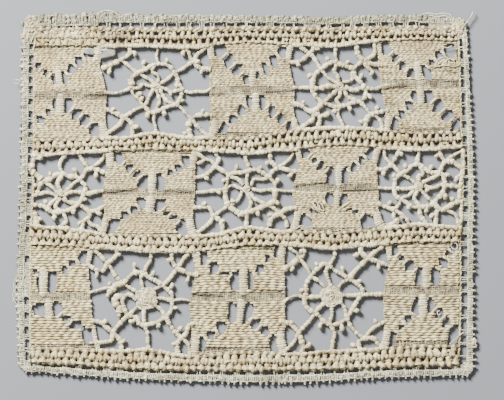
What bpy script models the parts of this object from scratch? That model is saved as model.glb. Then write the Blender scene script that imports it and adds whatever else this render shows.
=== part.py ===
"""Fragment of needle lace with a narrow picot tape sewn round it, lying flat.

The panel is three rows of squares, spoked wheels and four-petal woven squares in
turn, with hemstitched bands between the rows. Its gaps are cut right through.
The tape is four pieces, one along each side, 0.3 mm from the panel.

+X runs along the rows, +Y across them and +Z up from the surface that the lace
lies on. The tables are in millimetres, with x to the right and y away from the
viewer, and each mesh is made in metres.
"""

from collections import namedtuple

import bmesh
import bpy
from mathutils import Vector
from mathutils.geometry import delaunay_2d_cdt, intersect_line_line_2d

MM = 0.001

# Heights above the surface, in millimetres
RIM = 1.1  # along the outline and round every gap
PETAL = 1.4  # on the woven petals
RIDGE = 1.7  # along the middle of bars and cords
FURROW = 1.15  # eyelet rows, ladder rows and the crease of the linen strips

# Half widths of the bars, in millimetres
INNER_SPOKE = 0.75
OUTER_SPOKE = 0.7
RING_BAR = 0.95
FAN_BAR = 0.75

# Where a wheel's bars meet the frame of its square, as shares of hub to corner
BAND_FOOT = 0.54
SIDE_FOOT = 0.47
PULL_REACH = 9.0  # how far along a band a spoke's pull is felt

# Gaps of a woven square, in millimetres
SLOT_PLACE = 0.36  # of the height from the centre to the corner gap
SLOT_LENGTH = 0.38
STEP_SIZE = (2.2, 3.3)
STEPS = 3
CUT = 0.3  # how much of a gap's corner is cut off, as a share of its height

SELVEDGE = 1.0  # the least cloth left between a gap and the panel's edge
CORD_INSET = 0.8  # from a band's edge to the middle of its outer cord
END_INSET = 1.2  # from the panel's side to the end of a cord or crease
PIECE_GAP = 0.3
SMALLEST_GAP = 0.9  # square millimetres
CORNER_CUT = 0.9  # off the corners of a wheel's large gaps
SOLID_HUB = 2.0  # a hub of at least this radius is a woven disc
EPSILON = 1e-5

# The lines that run across the lace, a row for each place along it
Across = namedtuple(
    "Across",
    "x outer_top top a_low b_top b_low c_top c_low d_top bottom outer_bottom",
)
ACROSS = [
    Across(-71.3, 61.2, 56.5, 50.5, 19.7, 14.0, -9.3, -15.7, -50.0, -54.7, -58.3),
    Across(-59.0, 61.5, 56.7, 50.5, 19.7, 14.8, -10.2, -16.2, -50.2, -55.2, -59.3),
    Across(-47.3, 62.0, 56.7, 50.5, 20.0, 15.7, -12.0, -16.8, -50.7, -56.3, -60.2),
    Across(-32.3, 61.5, 56.7, 50.5, 20.7, 16.0, -12.3, -17.7, -51.5, -57.0, -61.0),
    Across(-17.3, 61.3, 56.7, 50.0, 20.2, 16.0, -12.7, -18.0, -52.7, -57.3, -61.7),
    Across(0.0, 61.0, 57.0, 51.8, 20.0, 15.5, -11.0, -15.8, -51.0, -57.5, -62.0),
    Across(15.3, 60.7, 56.8, 50.8, 22.8, 16.0, -11.0, -15.7, -52.0, -57.3, -62.0),
    Across(29.7, 60.3, 56.7, 50.8, 23.7, 17.7, -11.3, -16.7, -51.5, -57.0, -61.5),
    Across(44.3, 61.2, 57.0, 52.2, 23.0, 16.7, -10.0, -15.5, -50.0, -56.2, -60.3),
    Across(57.7, 61.2, 57.0, 52.7, 22.0, 16.0, -8.7, -14.7, -49.0, -55.8, -60.0),
    Across(71.0, 59.8, 56.5, 52.3, 22.3, 17.0, -9.7, -14.7, -49.0, -55.7, -59.7),
]

# The lines that run up the two sides, a row for each height
Upright = namedtuple("Upright", "y outer_left left right outer_right")
UPRIGHT = [
    Upright(-56.0, -76.3, -72.5, 70.3, 76.3),
    Upright(-44.0, -76.5, -72.5, 71.0, 76.3),
    Upright(-29.0, -76.5, -72.5, 71.2, 76.2),
    Upright(-14.0, -76.0, -72.3, 71.0, 76.5),
    Upright(2.7, -75.8, -71.5, 72.0, 76.4),
    Upright(19.3, -75.8, -71.3, 71.5, 75.3),
    Upright(34.3, -75.7, -71.2, 71.2, 74.5),
    Upright(46.0, -75.5, -71.0, 70.7, 73.8),
    Upright(56.7, -75.3, -70.8, 70.3, 73.3),
]

# The upper and lower edge of each band, and those above and below each row of squares
BANDS = (("top", "a_low"), ("b_top", "b_low"), ("c_top", "c_low"), ("d_top", "bottom"))
ROW_EDGES = (("a_low", "b_top"), ("b_low", "c_top"), ("c_low", "d_top"))

# A wheel: its hub, the x of its left and right side at top, middle and bottom,
# how far each straight spoke leans at its foot (N, E, S, W), how far the N and S
# spokes pull the bands inwards, the ring's radius at its eight spokes clockwise
# from N, and where the diagonal spokes branch, from the hub (NE, SE, SW, NW)
Wheel = namedtuple("Wheel", "row hub hub_radius left right lean pull ring branch")
WHEELS = [
    Wheel(
        row=0,
        hub=(-30.0, 37.3),
        hub_radius=1.3,
        left=(-48.0, -46.3, -47.0),
        right=(-13.3, -12.3, -13.0),
        lean=(0.0, -1.7, -0.3, -2.3),
        pull=(0.0, 1.7),
        ring=(7.3, 7.3, 8.2, 8.7, 8.3, 8.0, 8.7, 8.3),
        branch=((12.0, 8.0), (11.7, -10.7), (-11.7, -10.3), (-12.0, 8.7)),
    ),
    Wheel(
        row=0,
        hub=(31.0, 37.3),
        hub_radius=1.3,
        left=(14.7, 17.0, 16.7),
        right=(43.0, 44.3, 46.0),
        lean=(-1.7, -0.7, 0.7, -0.7),
        pull=(0.5, 0.0),
        ring=(8.0, 7.3, 7.3, 8.7, 6.7, 7.7, 9.3, 8.7),
        branch=((7.7, 9.0), (11.0, -9.0), (-9.0, -8.7), (-10.0, 10.7)),
    ),
    Wheel(
        row=1,
        hub=(-62.0, 1.3),
        hub_radius=1.3,
        left=(-70.3, -70.3, -70.3),
        right=(-47.7, -48.0, -48.0),
        lean=(0.0, 1.7, -0.3, 0.0),
        pull=(0.0, 0.0),
        ring=(6.3, 7.7, 6.3, 7.2, 5.7, 6.8, 7.7, 7.7),
        branch=((9.3, 8.3), (9.7, -6.3), None, None),
    ),
    Wheel(
        row=1,
        hub=(0.0, 3.0),
        hub_radius=1.3,
        left=(-16.0, -17.3, -16.3),
        right=(16.7, 15.0, 15.0),
        lean=(0.0, -0.7, 0.0, -1.3),
        pull=(1.2, 2.0),
        ring=(6.0, 8.5, 9.7, 9.0, 7.7, 8.3, 7.0, 7.2),
        branch=((10.0, 7.0), (11.0, -7.7), (-10.7, -8.0), (-10.7, 7.0)),
    ),
    Wheel(
        row=1,
        hub=(57.0, 3.7),
        hub_radius=1.3,
        left=(44.0, 43.0, 44.0),
        right=(70.2, 70.7, 70.2),
        lean=(0.7, 0.7, 2.8, 0.0),
        pull=(0.0, 0.0),
        ring=(8.0, 9.3, 8.7, 7.8, 6.3, 6.7, 7.7, 7.7),
        branch=((8.7, 8.7), (8.0, -7.3), (-8.0, -7.7), (-9.0, 8.0)),
    ),
    Wheel(
        row=2,
        hub=(-33.7, -33.7),
        hub_radius=3.8,
        left=(-52.0, -52.3, -49.5),
        right=(-17.3, -19.3, -18.7),
        lean=(1.3, -0.7, 0.7, 2.0),
        pull=(0.3, 1.7),
        ring=(9.0, 8.3, 8.3, 8.3, 8.7, 7.0, 8.0, 8.7),
        branch=((10.7, 10.3), (12.3, -12.7), (-11.0, -10.7), (-12.7, 11.7)),
    ),
    Wheel(
        row=2,
        hub=(28.0, -32.7),
        hub_radius=3.7,
        left=(12.7, 12.7, 12.7),
        right=(47.0, 45.0, 46.0),
        lean=(0.7, 1.0, 0.3, -1.3),
        pull=(0.5, 1.0),
        ring=(10.0, 9.0, 10.0, 8.7, 9.0, 6.8, 8.7, 9.0),
        branch=((12.7, 12.3), (10.7, -13.7), (-10.3, -12.3), (-10.0, 12.7)),
    ),
]

# A woven square: its centre, the place and width of the slots beside its middle
# bar, the size of its corner gaps, and their middles from the centre (NE, SE, SW,
# NW). A square that the tape covers on the left keeps only the gaps that show
Woven = namedtuple("Woven", "centre slot corner_size ne se sw nw")
WOVEN = [
    Woven((-62.7, 34.0), (2.0, 2.0), (3.4, 4.2), (10.0, 13.7), (11.7, -11.0), (-9.3, -11.0), (-9.3, 13.3)),
    Woven((1.7, 36.0), (2.0, 2.0), (3.3, 4.2), (10.0, 13.0), (12.3, -12.3), (-9.3, -12.3), (-10.7, 13.3)),
    Woven((57.7, 37.8), (2.1, 2.1), (3.3, 4.2), (9.3, 11.7), (10.9, -12.7), (-9.0, -12.7), (-11.3, 12.3)),
    Woven((-32.0, 2.0), (2.5, 2.5), (3.5, 4.0), (11.7, 10.3), (10.0, -12.0), (-12.7, -11.3), (-11.0, 11.3)),
    Woven((30.3, 3.3), (2.4, 2.5), (3.4, 4.2), (10.3, 11.3), (9.3, -10.7), (-10.7, -11.0), (-11.0, 12.0)),
    Woven((-67.7, -33.0), (2.8, 3.0), (3.8, 4.4), (12.7, 13.7), (14.3, -12.7), None, None),
    Woven((-2.0, -33.0), (2.5, 2.4), (2.2, 5.2), (11.7, 14.8), (10.7, -14.7), (-12.7, -15.0), (-12.7, 13.3)),
    Woven((59.0, -31.0), (2.4, 2.3), (2.4, 4.6), (8.7, 13.0), (10.0, -14.7), (-10.7, -15.0), (-9.7, 13.7)),
]
QUADRANTS = ((1, 1), (1, -1), (-1, -1), (-1, 1))

MATERIALS = {
    "panel": {"color": (0.68, 0.60, 0.43, 1), "roughness": 0.9},
    "edging": {"color": (0.66, 0.64, 0.55, 1), "roughness": 0.9},
}


def clear_scene():
    for thing in list(bpy.data.objects):
        bpy.data.objects.remove(thing)


def make_material(name):
    look = MATERIALS[name]
    material = bpy.data.materials.new(name)
    material.use_nodes = True
    shader = material.node_tree.nodes["Principled BSDF"]
    shader.inputs["Base Color"].default_value = look["color"]
    shader.inputs["Roughness"].default_value = look["roughness"]
    return material


def interpolate(table, along, column, place):
    """A column's value at a place between two rows of a table."""
    rows = [row for row in table if getattr(row, along) <= place] or [table[0]]
    low = rows[-1]
    high = table[min(table.index(low) + 1, len(table) - 1)]
    span = getattr(high, along) - getattr(low, along)
    share = (place - getattr(low, along)) / span if span else 0.0
    share = min(max(share, 0.0), 1.0)
    return getattr(low, column) + share * (getattr(high, column) - getattr(low, column))


def across(column, x):
    return interpolate(ACROSS, "x", column, x)


def upright(column, y):
    return interpolate(UPRIGHT, "y", column, y)


def band_edge(column, x):
    """The y of a band's edge, with the pull of the spokes that end on it."""
    y = across(column, x)
    for wheel in WHEELS:
        top, bottom = ROW_EDGES[wheel.row]
        pulls = {top: (wheel.lean[0], -wheel.pull[0]), bottom: (wheel.lean[2], wheel.pull[1])}
        if column in pulls:
            lean, pull = pulls[column]
            away = abs(x - wheel.hub[0] - lean)
            y += pull * max(0.0, 1 - away / PULL_REACH)
    return y


def side_x(wheel, side, y):
    """The x of a wheel square's left or right side at a height."""
    top, middle, bottom = getattr(wheel, side)
    edge_column = ROW_EDGES[wheel.row][0 if y > wheel.hub[1] else 1]
    reach = across(edge_column, wheel.hub[0]) - wheel.hub[1]
    share = min(abs((y - wheel.hub[1]) / reach), 1.0)
    end = top if y > wheel.hub[1] else bottom
    return middle + share * (end - middle)


def on_band(wheel, place, x):
    return Vector((x, band_edge(ROW_EDGES[wheel.row][place], x)))


def on_side(wheel, side, y):
    return Vector((side_x(wheel, side, y), y))


def wheel_points(wheel):
    """The named points of one wheel, with its eight spokes counted clockwise from N."""
    hub = Vector(wheel.hub)
    feet = {
        0: on_band(wheel, 0, hub.x + wheel.lean[0]),
        2: on_side(wheel, "right", hub.y + wheel.lean[1]),
        4: on_band(wheel, 1, hub.x + wheel.lean[2]),
        6: on_side(wheel, "left", hub.y + wheel.lean[3]),
    }
    branches, corners, fans = {}, {}, {}
    for place, (east, north) in enumerate(QUADRANTS):
        spoke = 2 * place + 1
        side = "right" if east > 0 else "left"
        edge = 0 if north > 0 else 1
        corner_x = getattr(wheel, side)[2 * edge]
        corners[spoke] = on_band(wheel, edge, corner_x)
        to_corner = corners[spoke] - hub
        if wheel.branch[place]:
            branches[spoke] = hub + Vector(wheel.branch[place])
            fans[spoke] = {
                "band": on_band(wheel, edge, hub.x + BAND_FOOT * to_corner.x),
                "side": on_side(wheel, side, hub.y + SIDE_FOOT * to_corner.y),
            }
        else:
            fans[spoke] = None
            branches[spoke] = hub + to_corner
    aims = {**feet, **branches}
    directions = [(aims[spoke] - hub).normalized() for spoke in range(8)]
    ring = [hub + directions[spoke] * wheel.ring[spoke] for spoke in range(8)]
    hub_edge = [hub + directions[spoke] * wheel.hub_radius for spoke in range(8)]
    return hub, hub_edge, ring, feet, branches, corners, fans


def signed_area(loop):
    return sum(a.cross(b) for a, b in zip(loop, loop[1:] + loop[:1])) / 2


def anticlockwise(loop):
    return loop if signed_area(loop) > 0 else loop[::-1]


def meet(first, second):
    """Where two lines cross, each given as a point and a direction."""
    (start, along), (other, other_along) = first, second
    turn = along.cross(other_along)
    if abs(turn) < 0.05:
        return (start + other) / 2
    return start + along * ((other - start).cross(other_along) / turn)


def inset(loop, widths):
    """The loop with each side, from a point to the next, moved inwards by its own width."""
    turn = 1 if signed_area(loop) > 0 else -1
    sides = []
    for start, end, width in zip(loop, loop[1:] + loop[:1], widths):
        along = (end - start).normalized()
        inwards = Vector((-along.y, along.x)) * turn
        sides.append((start + inwards * width, along))
    inner = [meet(sides[i - 1], side) for i, side in enumerate(sides)]
    closes = signed_area(inner) * turn > SMALLEST_GAP
    return inner if closes else None


def with_cut_corners(loop):
    """The loop with its corners cut off, as thread rounds them."""
    cut = []
    for before, corner, after in zip(loop[-1:] + loop[:-1], loop, loop[1:] + loop[:1]):
        for end in (before, after):
            reach = min(CORNER_CUT, (end - corner).length / 3)
            cut.append(corner + (end - corner).normalized() * reach)
    return cut


def wheel_gaps(wheel):
    """The gaps between the bars of one wheel."""
    hub, hub_edge, ring, feet, branches, corners, fans = wheel_points(wheel)
    gaps = []
    for spoke in range(8):
        after = (spoke + 1) % 8
        loop = [ring[spoke], ring[after], hub_edge[after], hub_edge[spoke]]
        widths = (RING_BAR, INNER_SPOKE, 0.0, INNER_SPOKE)
        if wheel.hub_radius < SOLID_HUB:
            loop[2:] = [hub]
            widths = (RING_BAR, INNER_SPOKE, INNER_SPOKE)
        gaps.append(inset(loop, widths))
    for spoke in (1, 3, 5, 7):
        fan, corner = fans[spoke], corners[spoke]
        for straight in ((spoke - 1) % 8, (spoke + 1) % 8):
            kind = "band" if straight in (0, 4) else "side"
            foot, joint = feet[straight], ring[straight]
            if fan:
                loop = [foot, joint, ring[spoke], branches[spoke], fan[kind]]
                widths = (OUTER_SPOKE, RING_BAR, INNER_SPOKE, FAN_BAR, 0.0)
                gaps.append(with_cut_corners(inset(loop, widths)))
                triangle = [branches[spoke], fan[kind], corner]
                gaps.append(inset(triangle, (FAN_BAR, 0.0, FAN_BAR)))
            elif kind == "band":
                wall = on_side(wheel, "left", ring[spoke].y)
                loop = [foot, joint, ring[spoke], wall, corner]
                widths = (OUTER_SPOKE, RING_BAR, RING_BAR, 0.0, 0.0)
                gaps.append(with_cut_corners(inset(loop, widths)))
    return [gap for gap in gaps if gap]


def box_gap(centre, size, east, north, cut_all):
    """A gap of a woven square: a box whose corners on the diagonal, or all of them, are cut."""
    half_x, half_y = size[0] / 2, size[1] / 2
    cut = CUT * size[1]
    cut_x = min(cut, size[0] * 0.4)
    outline = []
    for x_sign, y_sign in QUADRANTS:
        corner = centre + Vector((x_sign * half_x, y_sign * half_y))
        if not cut_all and x_sign * y_sign != east * north:
            outline.append(corner)
            continue
        along_x = corner - Vector((x_sign * cut_x, 0))
        along_y = corner - Vector((0, y_sign * cut))
        pair = [along_x, along_y]
        outline += pair if x_sign * y_sign > 0 else pair[::-1]
    return outline


def woven_gaps(woven):
    """Slots beside the middle bar of a woven square, and a flight of gaps to each corner."""
    centre = Vector(woven.centre)
    gaps = []
    for (east, north), corner in zip(QUADRANTS, (woven.ne, woven.se, woven.sw, woven.nw)):
        whole = Vector(corner or (east * woven.ne[0], north * woven.ne[1]))
        slot_x, slot_width = woven.slot
        slot = Vector((east * slot_x, SLOT_PLACE * whole.y))
        size = (slot_width, SLOT_LENGTH * abs(whole.y))
        gaps.append(box_gap(centre + slot, size, east, north, False))
        if not corner:
            continue
        for step in range(1, STEPS + 1):
            last = step == STEPS
            size = woven.corner_size if last else STEP_SIZE
            place = centre + slot.lerp(whole, step / STEPS)
            if place.x - size[0] / 2 > upright("left", place.y) + SELVEDGE:
                gaps.append(box_gap(place, size, east, north, last))
    return gaps


def wheel_ridges(wheel):
    """The middle lines of one wheel's bars, each with its height."""
    hub, _, ring, feet, branches, corners, fans = wheel_points(wheel)
    lines = []
    for spoke in range(8):
        lines.append(([hub, ring[spoke]], RIDGE))
        lines.append(([ring[spoke], ring[(spoke + 1) % 8]], RIDGE))
        if spoke in feet:
            lines.append(([ring[spoke], feet[spoke]], RIDGE))
        elif fans[spoke]:
            branch = branches[spoke]
            lines.append(([ring[spoke], branch], RIDGE))
            for end in (fans[spoke]["band"], fans[spoke]["side"], corners[spoke]):
                lines.append(([branch, end], RIDGE))
    return lines


def within_sides(point):
    """The point, brought inside the panel's left and right sides."""
    low = upright("left", point.y) + END_INSET
    high = upright("right", point.y) - END_INSET
    return Vector((min(max(point.x, low), high), point.y))


def woven_ridges(woven):
    """The middle bar, the crease across it and the crowns of the petals."""
    centre = Vector(woven.centre)
    wide, high = woven.ne
    shares = [((0, 0.16), (0, 0.56), RIDGE), ((-0.5, 0.95), (0.5, 0.95), PETAL)]
    shares += [((east * 0.15, 0), (east * 1.1, 0), FURROW) for east in (1, -1)]
    shares += [((east * 0.6, 0.26), (east * 1.05, 0.26), PETAL) for east in (1, -1)]
    lines = []
    for north in (1, -1):
        for start, end, height in shares:
            ends = [centre + Vector((x * wide, north * y * high)) for x, y in (start, end)]
            lines.append(([within_sides(point) for point in ends], height))
    return lines


def band_ridges():
    """The cords and the furrows of eyelets along the four bands."""
    lines = []
    for upper, lower in BANDS:
        for share in (0.0, 0.25, 0.5, 0.75, 1.0):
            points = []
            for row in ACROSS:
                high = band_edge(upper, row.x) - CORD_INSET
                low = band_edge(lower, row.x) + CORD_INSET
                points.append(within_sides(Vector((row.x, high + share * (low - high)))))
            lines.append((points, RIDGE if share in (0.0, 0.5, 1.0) else FURROW))
    return lines


def crosses(start, end, gaps):
    """Whether a line touches the rim of any gap."""
    for gap in gaps:
        for a, b in zip(gap, gap[1:] + gap[:1]):
            if intersect_line_line_2d(start, end, a, b):
                return True
    return False


def clear_parts(lines, gaps):
    """The stretches of the lines that stay clear of the gaps."""
    return [
        (start, end, height)
        for points, height in lines
        for start, end in zip(points, points[1:])
        if (end - start).length > EPSILON and not crosses(start, end, gaps)
    ]


def triangulate(loops, stretches):
    """Triangles inside the first loop and outside the others.

    Returns the points, each with its height, and the triangles. A point of a loop
    also carries its number there, so that the top and the bottom can be joined.
    """
    rim = [point for loop in loops for point in loop]
    points = rim + [point for start, end, _ in stretches for point in (start, end)]
    faces, first = [], 0
    for loop in loops:
        faces.append(list(range(first, first + len(loop))))
        first += len(loop)
    edges = [(first + 2 * i, first + 2 * i + 1) for i in range(len(stretches))]
    meshed = delaunay_2d_cdt(points, edges, faces, 1, EPSILON)
    places, _, triangles, sources, _, face_sources = meshed
    kept = [list(face) for face, source in zip(triangles, face_sources) if list(source) == [0]]
    heights = [stretch[2] for stretch in stretches for _ in range(2)]
    corners = []
    for place, source in zip(places, sources):
        on_rim = [number for number in source if number < first]
        inner = [heights[number - first] for number in source if number >= first]
        height = RIM if on_rim else max(inner, default=RIDGE)
        corners.append((place, height, on_rim[0] if on_rim else None))
    return corners, kept


def add_skin(sheet, corners, triangles, flat):
    """One side of the sheet. Returns its points on the rim by number."""
    used = {index for face in triangles for index in face}
    made = {}
    for index in used:
        place, height, _ = corners[index]
        made[index] = sheet.verts.new((place.x * MM, place.y * MM, 0.0 if flat else height * MM))
    for face in triangles:
        order = face[::-1] if flat else face
        sheet.faces.new([made[index] for index in order])
    return {corners[index][2]: made[index] for index in used if corners[index][2] is not None}


def make_sheet(name, outline, gaps, lines, material):
    """A flat sheet with gaps cut through it and a top raised along lines."""
    loops = [anticlockwise(loop) for loop in [outline] + gaps]
    sheet = bmesh.new()
    top = add_skin(sheet, *triangulate(loops, clear_parts(lines, loops)), flat=False)
    bottom = add_skin(sheet, *triangulate(loops, []), flat=True)
    first = 0
    for loop in loops:
        for i in range(len(loop)):
            here, there = first + i, first + (i + 1) % len(loop)
            wall = (bottom[here], bottom[there], top[there], top[here])
            sheet.faces.new(wall)
        first += len(loop)
    bmesh.ops.recalc_face_normals(sheet, faces=sheet.faces)
    mesh = bpy.data.meshes.new(name)
    sheet.to_mesh(mesh)
    sheet.free()
    mesh.materials.append(material)
    thing = bpy.data.objects.new(name, mesh)
    bpy.context.scene.collection.objects.link(thing)
    return thing


def panel_outline():
    """The panel's outline, anticlockwise from its lower left corner."""
    low = [Vector((row.x, row.bottom)) for row in ACROSS]
    high = [Vector((row.x, row.top)) for row in ACROSS]
    left = [Vector((row.left, row.y)) for row in UPRIGHT]
    right = [Vector((row.right, row.y)) for row in UPRIGHT]
    corner = {
        "low_left": Vector((left[0].x, low[0].y)),
        "low_right": Vector((right[0].x, low[-1].y)),
        "high_right": Vector((right[-1].x, high[-1].y)),
        "high_left": Vector((left[-1].x, high[0].y)),
    }
    return (
        [corner["low_left"]]
        + low[1:-1]
        + [corner["low_right"]]
        + right[1:-1]
        + [corner["high_right"]]
        + high[-2:0:-1]
        + [corner["high_left"]]
        + left[-2:0:-1]
    )


def make_tape(name, outer, inner, material):
    """One length of tape, with a raised middle and a furrow of ladder stitches."""
    lines = []
    for share, height in ((0.35, RIDGE), (0.75, FURROW)):
        lines.append(([a.lerp(b, share) for a, b in zip(outer, inner)][1:-1], height))
    make_sheet(name, inner + outer[::-1], [], lines, material)


def make_edging(material):
    """The four lengths of tape round the panel."""
    for name, inner_column, outer_column, away in (
        ("edging_top", "top", "outer_top", PIECE_GAP),
        ("edging_bottom", "bottom", "outer_bottom", -PIECE_GAP),
    ):
        end = UPRIGHT[-1] if away > 0 else UPRIGHT[0]
        places = [end.outer_left] + [row.x for row in ACROSS] + [end.outer_right]
        outer = [Vector((x, across(outer_column, x))) for x in places]
        inner = [Vector((x, across(inner_column, x) + away)) for x in places]
        make_tape(name, outer, inner, material)
    for name, inner_column, outer_column, away in (
        ("edging_left", "left", "outer_left", -PIECE_GAP),
        ("edging_right", "right", "outer_right", PIECE_GAP),
    ):
        end = ACROSS[0] if away < 0 else ACROSS[-1]
        heights = [end.bottom] + [row.y for row in UPRIGHT[1:-1]] + [end.top]
        outer = [Vector((upright(outer_column, y), y)) for y in heights]
        inner = [Vector((upright(inner_column, y) + away, y)) for y in heights]
        make_tape(name, outer, inner, material)


def make_panel(material):
    """The lace panel with every gap of its wheels and woven squares."""
    gaps = [gap for wheel in WHEELS for gap in wheel_gaps(wheel)]
    gaps += [gap for woven in WOVEN for gap in woven_gaps(woven)]
    lines = [line for wheel in WHEELS for line in wheel_ridges(wheel)]
    lines += [line for woven in WOVEN for line in woven_ridges(woven)]
    lines += band_ridges()
    make_sheet("lace_panel", panel_outline(), gaps, lines, material)
    print("gaps cut through:", len(gaps))


clear_scene()
make_panel(make_material("panel"))
make_edging(make_material("edging"))
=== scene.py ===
# A fragment of needle lace with a narrow looped tape sewn round it, lying flat.
# Lengths are in millimetres, x along the rows of squares and y across them, until a mesh is made.

import math
import random

import bpy
import numpy as np
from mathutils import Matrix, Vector
from mathutils.geometry import delaunay_2d_cdt


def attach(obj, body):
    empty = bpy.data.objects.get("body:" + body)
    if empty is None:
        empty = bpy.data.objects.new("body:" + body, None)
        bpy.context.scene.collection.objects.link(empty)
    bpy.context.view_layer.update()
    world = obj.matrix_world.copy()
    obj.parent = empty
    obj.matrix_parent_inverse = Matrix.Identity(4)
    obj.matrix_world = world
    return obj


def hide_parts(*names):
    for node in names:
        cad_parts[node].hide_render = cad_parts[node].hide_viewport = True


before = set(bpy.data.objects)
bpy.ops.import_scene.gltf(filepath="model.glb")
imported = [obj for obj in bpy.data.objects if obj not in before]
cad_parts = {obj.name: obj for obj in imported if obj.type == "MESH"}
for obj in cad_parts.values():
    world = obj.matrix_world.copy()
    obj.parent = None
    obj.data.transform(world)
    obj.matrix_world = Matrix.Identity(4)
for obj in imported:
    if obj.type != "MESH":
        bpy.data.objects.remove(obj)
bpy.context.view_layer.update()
mm = 0.001

# The lace's own lines: the y of each line that runs across it, by x, and the x of each one
# that runs up its sides, by y
acrossLines = {
    "x": (-71.3, -59.0, -47.3, -32.3, -17.3, 0.0, 15.3, 29.7, 44.3, 57.7, 71.0),
    "outerTop": (61.2, 61.5, 62.0, 61.5, 61.3, 61.0, 60.7, 60.3, 61.2, 61.2, 59.8),
    "top": (56.5, 56.7, 56.7, 56.7, 56.7, 57.0, 56.8, 56.7, 57.0, 57.0, 56.5),
    "aLow": (50.5, 50.5, 50.5, 50.5, 50.0, 51.8, 50.8, 50.8, 52.2, 52.7, 52.3),
    "bTop": (19.7, 19.7, 20.0, 20.7, 20.2, 20.0, 22.8, 23.7, 23.0, 22.0, 22.3),
    "bLow": (14.0, 14.8, 15.7, 16.0, 16.0, 15.5, 16.0, 17.7, 16.7, 16.0, 17.0),
    "cTop": (-9.3, -10.2, -12.0, -12.3, -12.7, -11.0, -11.0, -11.3, -10.0, -8.7, -9.7),
    "cLow": (-15.7, -16.2, -16.8, -17.7, -18.0, -15.8, -15.7, -16.7, -15.5, -14.7, -14.7),
    "dTop": (-50.0, -50.2, -50.7, -51.5, -52.7, -51.0, -52.0, -51.5, -50.0, -49.0, -49.0),
    "bottom": (-54.7, -55.2, -56.3, -57.0, -57.3, -57.5, -57.3, -57.0, -56.2, -55.8, -55.7),
    "outerBottom": (-58.3, -59.3, -60.2, -61.0, -61.7, -62.0, -62.0, -61.5, -60.3, -60.0, -59.7),
}
sideLines = {
    "y": (-56.0, -44.0, -29.0, -14.0, 2.7, 19.3, 34.3, 46.0, 56.7),
    "outerLeft": (-76.0, -76.8, -77.2, -76.5, -75.9, -75.6, -75.4, -75.3, -75.0),
    "left": (-72.5, -72.5, -72.5, -72.3, -71.5, -71.3, -71.2, -71.0, -70.8),
    "right": (70.3, 71.0, 71.2, 71.0, 72.0, 71.5, 71.2, 70.7, 70.3),
    "outerRight": (75.7, 75.7, 75.7, 75.8, 75.8, 75.3, 74.6, 73.9, 73.2),
}
bands = (("top", "aLow"), ("bTop", "bLow"), ("cTop", "cLow"), ("dTop", "bottom"))
rowEdges = (("aLow", "bTop"), ("bLow", "cTop"), ("cLow", "dTop"))

# The x of each side between two squares of a row, at these shares of the row's height
sideShares = (1.0, 0.8, 0.5, 0.2, 0.0)
squareSides = (
    ((-47.8, -49.0, -46.5, -47.1, -46.3), (-13.3, -12.3, -12.5, -12.1, -13.0),
     (15.6, 14.1, 15.9, 15.8, 17.2), (43.3, 43.8, 44.6, 46.1, 45.9)),
    ((-46.9, -46.7, -48.2, -47.5, -49.0), (-16.5, -17.2, -17.2, -18.1, -16.9),
     (16.2, 17.2, 15.1, 16.1, 14.4), (44.6, 43.2, 43.8, 43.9, 46.3)),
    ((-50.9, -52.8, -52.0, -51.1, -48.8), (-18.1, -17.1, -19.2, -18.4, -18.4),
     (12.7, 12.6, 12.8, 12.8, 13.0), (46.3, 47.2, 45.3, 45.9, 44.8)),
)

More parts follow.
